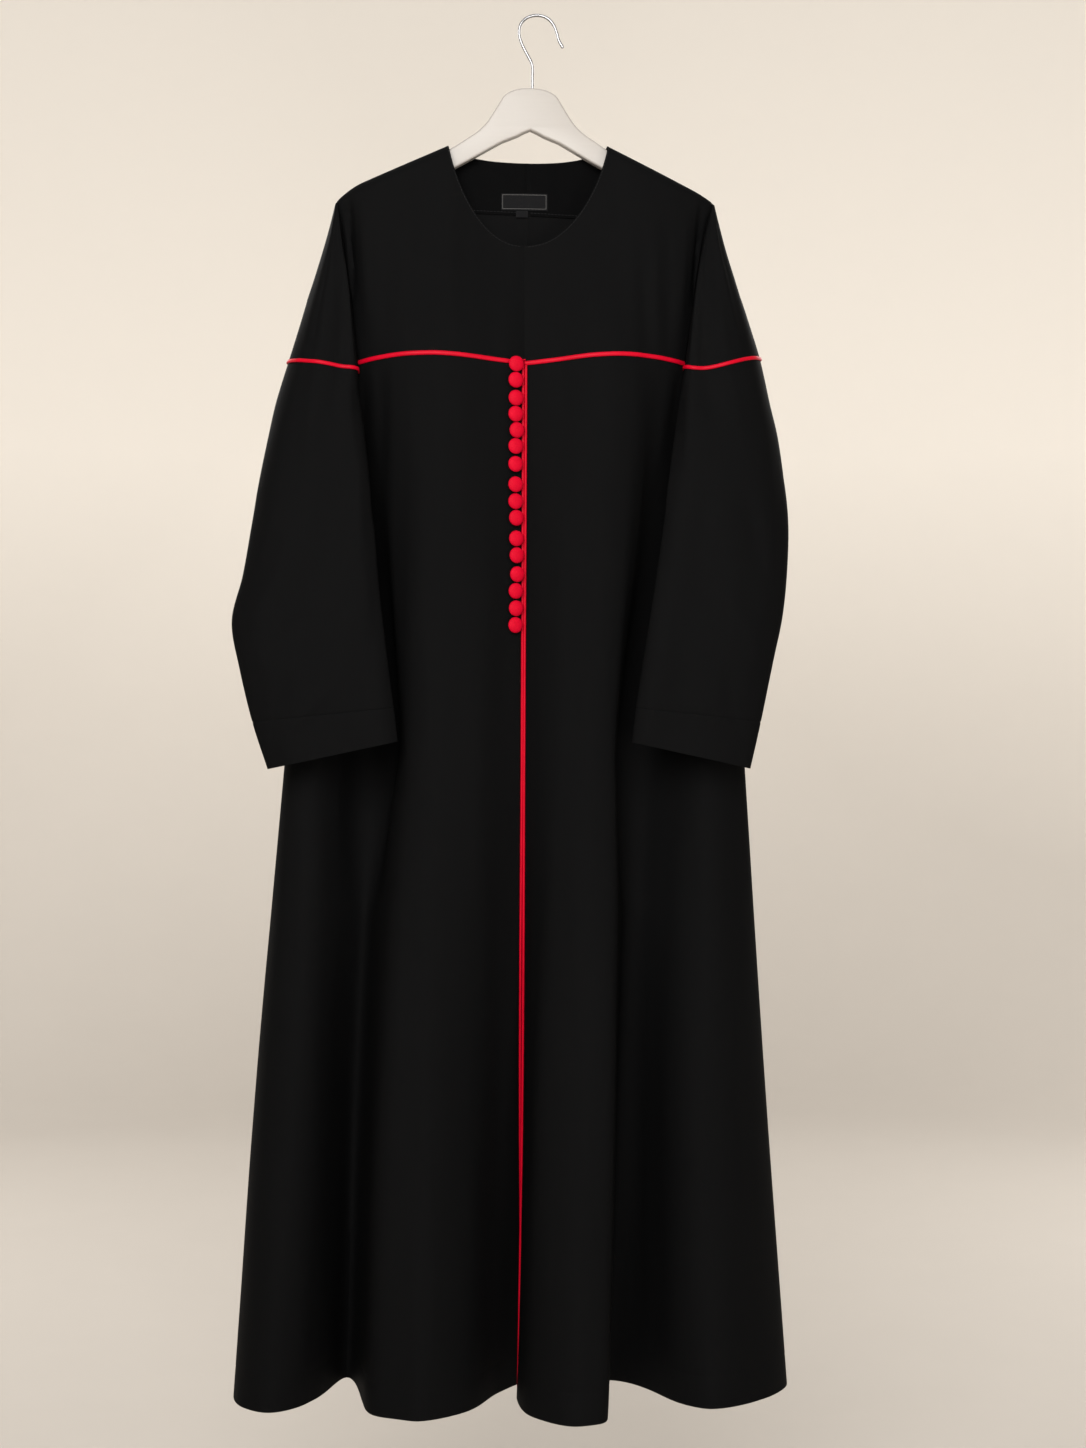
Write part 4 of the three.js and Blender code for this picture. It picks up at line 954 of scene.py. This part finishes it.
# Control points of the rings: front armhole, inner fold, front layer, outer fold, back layer, back armhole.
def sleeveControls(side, at):
    at = np.asarray(at, float)
    out = sideShape[side]["out"]
    opening, sideSeam = frontRange[side]
    centre = backRange[side][0]
    outerX, outerZ, innerX, innerZ, front, back, edge, seamX = ringValues(side, at)
    width = outerX - innerX

    def level(x):
        return outerZ + (innerZ - outerZ) * (outerX - x) / width

    def place(share, y):
        x = innerX + width * share
        return np.stack([x, y + 0 * x, level(x)], axis=-1)

    def seat(face, start, shift):
        z = level(armhole(side, face, innerZ))
        x = armhole(side, face, np.maximum(z, bodyShape["underarmZ"]))
        tucked = np.array([-1.4 * out, 1.3 * math.copysign(1, shift[1]), 0])
        onBody = bodyCloth(lineAt(x, z, start, sideSeam), z)[0]
        apart = np.array([out * shift[0], shift[1], 0])
        return onBody + apart + np.clip(1 - at / 1.2, 0, 1)[:, None] * tucked

    underY, underRing = sleeveShape["underarmY"], sleeveShape["underarmRing"]
    seamY = underY + (back - underY) * np.clip(at - underRing, 0, 1)
    seamPoint = np.stack([seamX, seamY, level(seamX)], axis=-1)
    closed = (at >= underRing)[:, None]
    start = np.where(closed, seamPoint, seat("front", opening, (0.1, 0.2)))
    end = np.where(closed, seamPoint, seat("back", centre, (0.1, -0.2)))
    tuck = np.clip((start[:, 0] - innerX) * out / 12, 0, 1)[:, None]

    def between(share):
        return start[:, 1] + (front - start[:, 1]) * share

    inner = place(0, between(0.72))
    return np.stack([
        start,
        place(0.004, between(0.5)) * (1 - tuck) + (start * 0.5 + inner * 0.5 + np.array([0, -2, 0])) * tuck,
        place(0.015, between(0.82)) * (1 - tuck) + inner * tuck,
        place(0.09, between(0.98)), place(0.33, front), place(0.62, front),
        place(0.86, front + (edge - front) * 0.3), place(1, edge), place(0.86, edge + (back - edge) * 0.75),
        backMiddle(place(1, back), end, back), end,
    ], axis=1)


def backMiddle(outer, end, back):
    point = outer * 0.45 + end * 0.55
    point[:, 1] = back + (end[:, 1] - back) * 0.4
    return point


sleeveGrid = {"step": 3.2, "ring": 46.0, "round": 260.0, "creaseDepth": 1.2}


def sleeveCloth(side, at, share):
    out, last = sideShape[side]["out"], sleeveShape["lastRing"]
    at = np.asarray(at, float)
    share = np.broadcast_to(share, (len(at), np.shape(share)[-1]))
    controls = sleeveControls(side, at)
    points = catmullRows(controls, share)
    sag = seamSag["drop"][side] * np.exp(-((share - seamSag["share"]) / seamSag["spread"]) ** 2)
    points[..., 2] -= sag * np.exp(-(at[:, None] - sleeveShape["chestRing"]) ** 2)
    along = catmullRows(controls, share + 0.004) - catmullRows(controls, share - 0.004)
    above = catmullRows(sleeveControls(side, np.maximum(at - 0.05, 0)), share)
    below = catmullRows(sleeveControls(side, np.minimum(at + 0.05, last)), share)
    normals = unit(np.cross(along, above - below) * out)
    rings = np.broadcast_to(at[:, None], share.shape)
    ring, around = sleeveGrid["ring"], sleeveGrid["round"]
    creases = [(a * around, b * ring, c * around, d * ring, width, height * sleeveGrid["creaseDepth"], lean)
               for a, b, c, d, width, height, lean in sleeveCreases[side]]
    lift = creaseLift(creases, share * around, rings * ring) + drift(share * 300, rings * ring, 2.0 + out)
    calm = np.clip(share / 0.04, 0, 1) * np.clip((1 - share) / 0.04, 0, 1) * np.clip(rings / 0.8, 0, 1)
    return points + normals * (lift * calm)[..., None], normals


def sleevePart(word, side, first, last, rowCount, edges, hem=False):
    under = sleeveShape["underarmRing"]
    at = np.linspace(first, last, rowCount)
    closeBy = np.array([0.8, 1.6]) / sleeveGrid["ring"]
    extra = [under] if first < under < last else []
    at = np.unique(np.concatenate([at, first + closeBy, last - closeBy, extra]))
    share = clothSteps(280, sleeveGrid["step"])
    points, normals = sleeveCloth(side, at, share)
    if first == 0:
        tipX = bodyShape["centreX"] + sideShape[side]["out"] * (sideShape[side]["tip"] - 1)
        tip = np.array([tipX, 0, float(ridge(tipX)) - 1])
        points[0] = tip + (points[0] - points[0].mean(axis=0)) * 0.15
    points = dipSeams(points, normals, edges + ["first", "last"])
    thick = cloth["hemThickness"] if hem else None
    closedFrom = int(np.searchsorted(at, under - 1e-9)) if last > under else None
    points, normals = facingOut(points, normals, side == "right")
    return clothShell(pieceName(word, side), points, normals, crepe, thick, closedFrom)


for side in sideNames:
    dress(frontYoke(side), ["front_yoke_" + side])
    dress(longFront(side), ["front_" + side])
    dress(longBack(side), ["back_" + side])
    dress(neckFacing(side), ["neck_facing_" + side])
print("body panels hung")
for side in sideNames:
    chest, cuff, last = sleeveShape["chestRing"], sleeveShape["cuffRing"], sleeveShape["lastRing"]
    upper = sleevePart("upperSleeve", side, 0, chest, 52, ["bottom"])
    lower = sleevePart("lowerSleeve", side, chest, cuff, 104, ["top", "bottom"])
    band = sleevePart("cuff", side, cuff, last, 18, ["top"], hem=True)
    dress(upper, ["upper_sleeve_" + side])
    dress(lower, ["lower_sleeve_" + side])
    dress(band, ["cuff_" + side])
print("sleeves hung")
labelDepth = cloth["thickness"] + facingShape["gap"] + facingShape["thickness"] + tabCloth["gap"]
sizeTab = dress(neckTab("sizeTab", tabShape, labelDepth, wovenLabel), ["size_tab"])
neckLabel = neckTab("neckLabel", labelShape, labelDepth, wovenLabel)
dress(neckLabel, ["neck_label"])

# Piping: an oval satin cord along the chest and sleeve seams, and a round one down each edge of the opening
pipingShape = {
    "halfWidth": 2.4, "sleeveHalfWidth": 2.1, "halfHeight": 1.3, "rise": 0.7,
    "edgeRadius": 1.45, "edgeInset": 1.75, "edgeRise": 0.5,
    "start": {"right": -14, "left": 0.9},   # where the chest piping begins, from the opening
}


def chestPiping(side):
    out, (opening, sideSeam) = sideShape[side]["out"], frontRange[side]
    start = bodyShape["openingX"] + pipingShape["start"][side]
    end = armhole(side, "front", bodyShape["chestZ"]) - out * 1.5
    x = np.linspace(start, float(end), 120)
    z = chestSeam(side, x)
    points, normals = bodyCloth(lineAt(x, z, opening, sideSeam), z)
    path = points + normals * pipingShape["rise"]
    return sweep(pieceName("chestPiping", side), path, normals,
                 ovalProfile(pipingShape["halfWidth"], pipingShape["halfHeight"], 16), satin)


def sleevePiping(side):
    share = np.linspace(0.02, 0.98, 150)[None, :]
    points, normals = sleeveCloth(side, [sleeveShape["chestRing"]], share)
    path = points[0] + normals[0] * pipingShape["rise"]
    return sweep(pieceName("sleevePiping", side), path, normals[0],
                 ovalProfile(pipingShape["sleeveHalfWidth"], pipingShape["halfHeight"], 16), satin)


def edgePiping(side):
    opening, sideSeam = frontRange[side]
    top = bodyShape["chestZ"] - pipingShape["halfWidth"] - 0.4
    z = np.linspace(top, bodyShape["hemZ"], 260)
    t = lineAway(opening, sideSeam, pipingShape["edgeInset"], z)
    points, normals = bodyCloth(t, z)
    path = points + normals * pipingShape["edgeRise"]
    return sweep(pieceName("edgePiping", side), path, normals,
                 ovalProfile(pipingShape["edgeRadius"], pipingShape["edgeRadius"], 14), satin)


for side in sideNames:
    dress(chestPiping(side), ["chest_piping_" + side])
    dress(sleevePiping(side), ["sleeve_piping_" + side])
    dress(edgePiping(side), ["edge_piping_" + side])
print("piping sewn")

# Covered buttons, each with its drop below the chest seam and sideways shift, and their loops
buttonShape = {
    "radius": 8.45, "x": -27.3, "rim": 1.6, "dome": 5.2, "shankRadius": 1.7, "shankHeight": 3.6,
    "gathers": 14, "gatherDepth": 0.012,
}
buttonTable = [
    (1.8, 0.5), (18.9, 0), (37.9, 0), (54.9, -0.3), (71.9, 0.9), (88.9, -0.4),
    (107.8, -0.5), (129.3, -0.5), (147.2, -0.5), (164.6, 0.3), (186.4, 0.3), (204.2, 0.8),
    (224.2, 1.3), (241.9, -0.3), (260.2, 0), (277.9, -0.6),
]
# A loop's run: shares of the way to the button, of the spread and of the height
loopShape = {
    "radius": 0.85, "height": 2.5, "spread": 5.6,
    "run": [(0, 1, 0.2), (0.3, 0.8, 0.5), (0.7, 0.6, 0.9), (0.96, 0.36, 1)],
}


def buttonSeat(drop, shift):
    z = np.array([bodyShape["chestZ"] - drop])
    t = lineAt(np.array([buttonShape["x"] + shift]), z, rightSeam, lastLine)
    points, normals = bodyCloth(t, z)
    return points[0], normals[0]


def buttonPiece(name, point, normal, turn):
    r, base = buttonShape["radius"], buttonShape["shankHeight"]
    rim, dome = buttonShape["rim"], buttonShape["dome"]
    profile = [(0.2, 0.2), (buttonShape["shankRadius"], 0.2), (buttonShape["shankRadius"] * 0.9, base * 0.6),
               (buttonShape["shankRadius"] * 1.1, base), (r * 0.5, base - 0.1), (r * 0.82, base + 0.15),
               (r * 0.95, base + 0.75), (r, base + rim)]
    slopes = np.linspace(0.2, 1.45, 9)
    profile += [(r * math.cos(a), base + rim + (dome - rim) * math.sin(a)) for a in slopes]
    around = 40
    angles = np.arange(around) * 2 * math.pi / around + turn
    across = unit(np.array([-normal[1], normal[0], 0.0]))
    up = np.cross(normal, across)
    vertices = []
    for radius, height in profile:
        depth = buttonShape["gatherDepth"] if base - 0.2 < height < base + 1.5 else 0
        pleat = 1 + depth * np.sin(angles * buttonShape["gathers"])
        ring = (pleat * np.cos(angles))[:, None] * across + (pleat * np.sin(angles))[:, None] * up
        vertices.append(point + height * normal + radius * ring)
    index, turned = ringNumbers(len(profile), around)
    faces = quads(index[:-1], turned[:-1], turned[1:], index[1:])
    faces += [index[0, ::-1].tolist(), index[-1].tolist()]
    mesh = meshFrom(name, np.array(vertices).reshape(-1, 3), faces)
    return newObject(name, mesh, cover, 70)


def loopPiece(name, point, normal):
    across = unit(np.array([-normal[1], normal[0], 0.0]))
    root = bodyShape["openingX"] + 1 - point[0]
    end = -buttonShape["shankRadius"] - loopShape["radius"] - 0.4
    def legPoint(sign, run, spread, rise):
        apart = np.array([0, 0, sign * spread * loopShape["spread"]])
        return point + across * (root + (end - root) * run) + normal * loopShape["height"] * rise + apart
    upper, lower = ([legPoint(sign, *row) for row in loopShape["run"]] for sign in (1, -1))
    controls = np.array(upper + lower[::-1])[None]
    path = catmullRows(controls, np.linspace(0, 1, 44)[None])[0]
    return sweep(name, path, np.repeat(normal[None], len(path), axis=0),
                 ovalProfile(loopShape["radius"], loopShape["radius"], 10), satin)


for i, (drop, shift) in enumerate(buttonTable):
    number = f"{i + 1:02d}"
    seatPoint, seatNormal = buttonSeat(drop, shift)
    dress(buttonPiece("button" + number, seatPoint, seatNormal, i * 0.7), ["button_" + number])
    dress(loopPiece("buttonLoop" + number, seatPoint, seatNormal), ["button_loop_" + number])
print("buttons and loops sewn")

# Hanger: a flat board with softened edges, and the wire hook
hangerShape = {
    "half": 5.6, "bevel": 2.4, "clearance": 4.2, "armEnd": 174, "armHeight": 23, "wireRadius": 1.6,
}
crownOutline = [
    (0, -77.5), (11, -78.3), (21, -81.4), (28, -86), (33, -93.5), (40, -105), (48, -116.5), (57, -125.3),
    (66, -131.5),
]
crownUnderside = [(14, -129.6), (6, -125.3), (0, -122.8)]
hookPath = [
    (-6, -84), (-6, -66), (-6, -54), (-7.5, -48.5), (-12, -40), (-17.5, -29), (-20.3, -18.5), (-18.6, -8.5),
    (-12.5, -1.6), (-4.5, 1.3), (4, 1.2), (11.5, -2.2), (17, -8.8), (20.2, -17), (22.5, -25), (26.5, -32),
]


def halfBoard():
    arm, height = hangerShape["armEnd"], hangerShape["armHeight"]
    centre = bodyShape["centreX"]
    def top(out):
        return float(ridge(np.array([centre + out]))[0]) - hangerShape["clearance"]
    upper = crownOutline + [(out, top(out)) for out in range(84, arm - 7, 16)]
    tip = top(arm)
    end = [(arm, tip - 2), (arm + 3, tip - 9), (arm - 1, tip - 17)]
    under = [(arm - 10, tip - height + 4), (84, top(84) - height), (30, -136)]
    curve = np.array([(out, 0, z) for out, z in upper + end + under], float)[None]
    points = catmullRows(curve, np.linspace(0, 1, 150)[None])[0][:, [0, 2]]
    return np.concatenate([points, crownUnderside])


def hangerBoard():
    half = halfBoard()
    outline = np.concatenate([half, half[1:-1][::-1] * [-1, 1]])
    curve = bpy.data.curves.new("hangerOutline", "CURVE")
    curve.dimensions, curve.fill_mode = "2D", "BOTH"
    curve.extrude = (hangerShape["half"] - hangerShape["bevel"]) * mm
    curve.bevel_depth, curve.bevel_resolution = hangerShape["bevel"] * mm, 5
    curve.offset = -hangerShape["bevel"] * mm
    spline = curve.splines.new("POLY")
    spline.points.add(len(outline) - 1)
    for point, (out, z) in zip(spline.points, outline):
        point.co = (out * mm, z * mm, 0, 1)
    spline.use_cyclic_u = True
    shaper = bpy.data.objects.new("hangerOutline", curve)
    bpy.context.scene.collection.objects.link(shaper)
    mesh = bpy.data.meshes.new_from_object(shaper.evaluated_get(bpy.context.evaluated_depsgraph_get()))
    bpy.data.objects.remove(shaper)
    for vertex in mesh.vertices:
        x, y, z = vertex.co
        vertex.co = (x + bodyShape["centreX"] * mm, -z, y)
    mesh.materials.clear()
    board = newObject("hangerBoard", mesh, painted, 40)
    board.modifiers.new("weld", "WELD").merge_threshold = 0.01 * mm
    return board


def hangerHook():
    controls = np.array([(x, 0, z) for x, z in hookPath], float)[None]
    path = catmullRows(controls, np.linspace(0, 1, 190)[None])[0]
    outs = np.repeat([[0.0, 1.0, 0.0]], len(path), axis=0)
    radius = hangerShape["wireRadius"]
    return sweep("hangerHook", path, outs, ovalProfile(radius, radius, 16), steel, 1.0)


dress(hangerBoard(), ["hanger_board"])
dress(hangerHook(), ["hanger_hook"])
print("hanger made")

# Stitches: short raised threads along a run of surface points
stitchShape = {
    "length": 2.6, "gap": 1.1, "radius": 0.28, "facingInset": 3.0, "neckInset": 1.3, "labelInset": 0.9,
}


def stitchLine(path, normals):
    steps = np.linalg.norm(np.diff(path, axis=0), axis=1)
    run = np.concatenate([[0], np.cumsum(steps)])
    pitch = stitchShape["length"] + stitchShape["gap"]
    starts = np.arange(pitch / 2, run[-1] - stitchShape["length"], pitch)
    rings = []
    for start in starts:
        at = start + stitchShape["length"] * np.linspace(0, 1, 5)
        centre = np.stack([np.interp(at, run, path[:, k]) for k in range(3)], axis=-1)
        up = unit(np.stack([np.interp(at, run, normals[:, k]) for k in range(3)], axis=-1))
        rings.append((centre, up, np.sin(np.linspace(0.15, math.pi - 0.15, 5)) ** 0.5))
    return rings


def stitchPiece(name, lines, material):
    vertices, faces = [], []
    around = 6
    angles = np.arange(around) * 2 * math.pi / around
    for path, normals in lines:
        for centre, up, size in stitchLine(path, normals):
            along = unit(centre[-1] - centre[0])
            across = unit(np.cross(up, along))
            base = len(vertices) * around
            for k in range(len(centre)):
                radius = stitchShape["radius"] * size[k]
                ring = np.cos(angles)[:, None] * across[k] + np.sin(angles)[:, None] * up[k]
                vertices.append(centre[k] + radius * ring)
            index, turned = ringNumbers(len(centre), around, base)
            faces += quads(index[:-1], index[1:], turned[1:], turned[:-1])
            faces += [index[0].tolist(), index[-1, ::-1].tolist()]
    return newObject(name, meshFrom(name, np.array(vertices).reshape(-1, 3), faces), material)


def facingStitches(side):
    out, (centre, sideSeam) = sideShape[side]["out"], backRange[side]
    x = bodyShape["backSeamX"] + out * np.linspace(2, facingShape["half"] - 4, 60)
    z = facingEdge(x) + stitchShape["facingInset"]
    points, normals = bodyCloth(lineAt(x, z, centre, sideSeam), z)
    depth = cloth["thickness"] + facingShape["gap"] + facingShape["thickness"]
    return points - normals * (depth + 0.05), -normals


# Along the front neckline, close to its turned edge
def neckStitches(side):
    out, (opening, sideSeam) = sideShape[side]["out"], frontRange[side]
    x, z = frontNeck(side, np.linspace(0.02, math.pi / 2 - 0.03, 200))
    away = unit(np.stack([np.gradient(z), -np.gradient(x)], axis=-1)) * out * stitchShape["neckInset"]
    x, z = x + away[:, 0], z + away[:, 1]
    points, normals = bodyCloth(lineAt(x, z, opening, sideSeam), z)
    return points + normals * 0.1, normals


def labelStitches():
    inset = stitchShape["labelInset"]
    halfX, halfZ = labelShape["width"] / 2 - inset, labelShape["height"] / 2 - inset
    corners = [(-halfX, -halfZ), (halfX, -halfZ), (halfX, halfZ), (-halfX, halfZ), (-halfX, -halfZ)]
    lines = []
    for (x0, z0), (x1, z1) in zip(corners, corners[1:]):
        x = labelShape["x"] + np.linspace(x0, x1, 20)
        z = labelShape["z"] + np.linspace(z0, z1, 20)
        points, normals = bodyCloth(lineAt(x, z, leftSeam, rightSeam), z)
        lines.append((points - normals * (labelDepth + 0.75), -normals))
    return lines


seams = [seam(side) for side in sideNames for seam in (facingStitches, neckStitches)]
stitching = stitchPiece("stitching", seams + labelStitches(), thread)
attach(stitching, "root")
print("stitching done")

# Room: a pale round backdrop that runs into the floor
room = {"radius": 4.4, "floorZ": -1.78, "height": 3.2, "cove": 1.1}


def backdrop():
    radius, cove, floorZ = room["radius"], room["cove"], room["floorZ"]
    profile = [(0.02, floorZ)] + [(r, floorZ) for r in np.linspace(0.6, radius - cove, 6)]
    profile += [(radius - cove + cove * math.sin(a), floorZ + cove - cove * math.cos(a))
                for a in np.linspace(0.12, math.pi / 2, 14)]
    profile += [(radius, floorZ + cove + h) for h in np.linspace(0.3, room["height"], 6)]
    around = 96
    angles = np.arange(around) * 2 * math.pi / around
    rings = np.array([[(r * math.cos(a), r * math.sin(a), z) for a in angles] for r, z in profile]) / mm
    index, turned = ringNumbers(len(profile), around)
    faces = quads(index[:-1], turned[:-1], turned[1:], index[1:])
    faces.append(index[0].tolist())
    mesh = meshFrom("backdrop", rings.reshape(-1, 3), faces)
    return newObject("backdrop", mesh, shadedWallMaterial("warm plaster with painted shade"), 80)


backdrop()

# Soft daylight: a large window lamp and a small low one in front, then lamps for the wall and from behind
lampColour = (1.0, 0.995, 0.985)
skyLook = {"colour": (1.0, 0.985, 0.96), "strength": 0.5}
lightTable = [
    # name, place, aim, size, watts
    ("window", (-0.6, -3.1, 0.4), (0, 0, -0.8), 2.2, 156),
    ("lowFill", (1.2, -2.9, -1.25), (0.1, 0, -1.25), 0.9, 22),
    ("wallWash", (0.0, 0.9, 2.2), (0, 4.4, -1.2), 2.6, 21),
    ("wallLeft", (-2.4, 1.6, -0.7), (1.2, 4.2, -1.5), 1.4, 15),
    ("wallRight", (2.4, 1.6, -0.7), (-1.2, 4.2, -1.5), 1.4, 15),
    ("rearLeft", (-2.2, 2.6, 0.8), (0, 0, -0.75), 2.0, 55),
    ("rearRight", (2.2, 2.6, 0.6), (0, 0, -0.75), 2.0, 50),
]
for name, place, aim, size, watts in lightTable:
    lamp = bpy.data.lights.new(name, "AREA")
    lamp.shape, lamp.size, lamp.energy, lamp.color = "DISK", size, watts, lampColour
    lampObject = bpy.data.objects.new(name, lamp)
    lampObject.location = place
    lampObject.rotation_euler = (Vector(aim) - Vector(place)).to_track_quat("-Z", "Y").to_euler()
    bpy.context.scene.collection.objects.link(lampObject)

sky = bpy.data.worlds.new("soft daylight")
sky.use_nodes = True
background = sky.node_tree.nodes["Background"]
background.inputs["Color"].default_value = (*skyLook["colour"], 1)
background.inputs["Strength"].default_value = skyLook["strength"]
bpy.context.scene.world = sky

# The photograph's camera: 1086 x 1448, focal length in its pixels, standing 4 degrees to the object's right
cameraShape = {"focalPixels": 2143, "imageHeight": 1448, "place": (-0.1551, -2.2948, -0.7588), "turn": 4}
camera = bpy.data.cameras.new("camera")
camera.sensor_width = 36
camera.lens = camera.sensor_width * cameraShape["focalPixels"] / cameraShape["imageHeight"]
camera.clip_start, camera.clip_end = 0.05, 50
cameraObject = bpy.data.objects.new("camera", camera)
cameraObject.location = cameraShape["place"]
cameraObject.rotation_euler = (math.radians(90), 0, -math.radians(cameraShape["turn"]))
bpy.context.scene.collection.objects.link(cameraObject)
bpy.context.scene.camera = cameraObject
bpy.context.scene.view_settings.view_transform = "Standard"
print("room, lights and camera set")
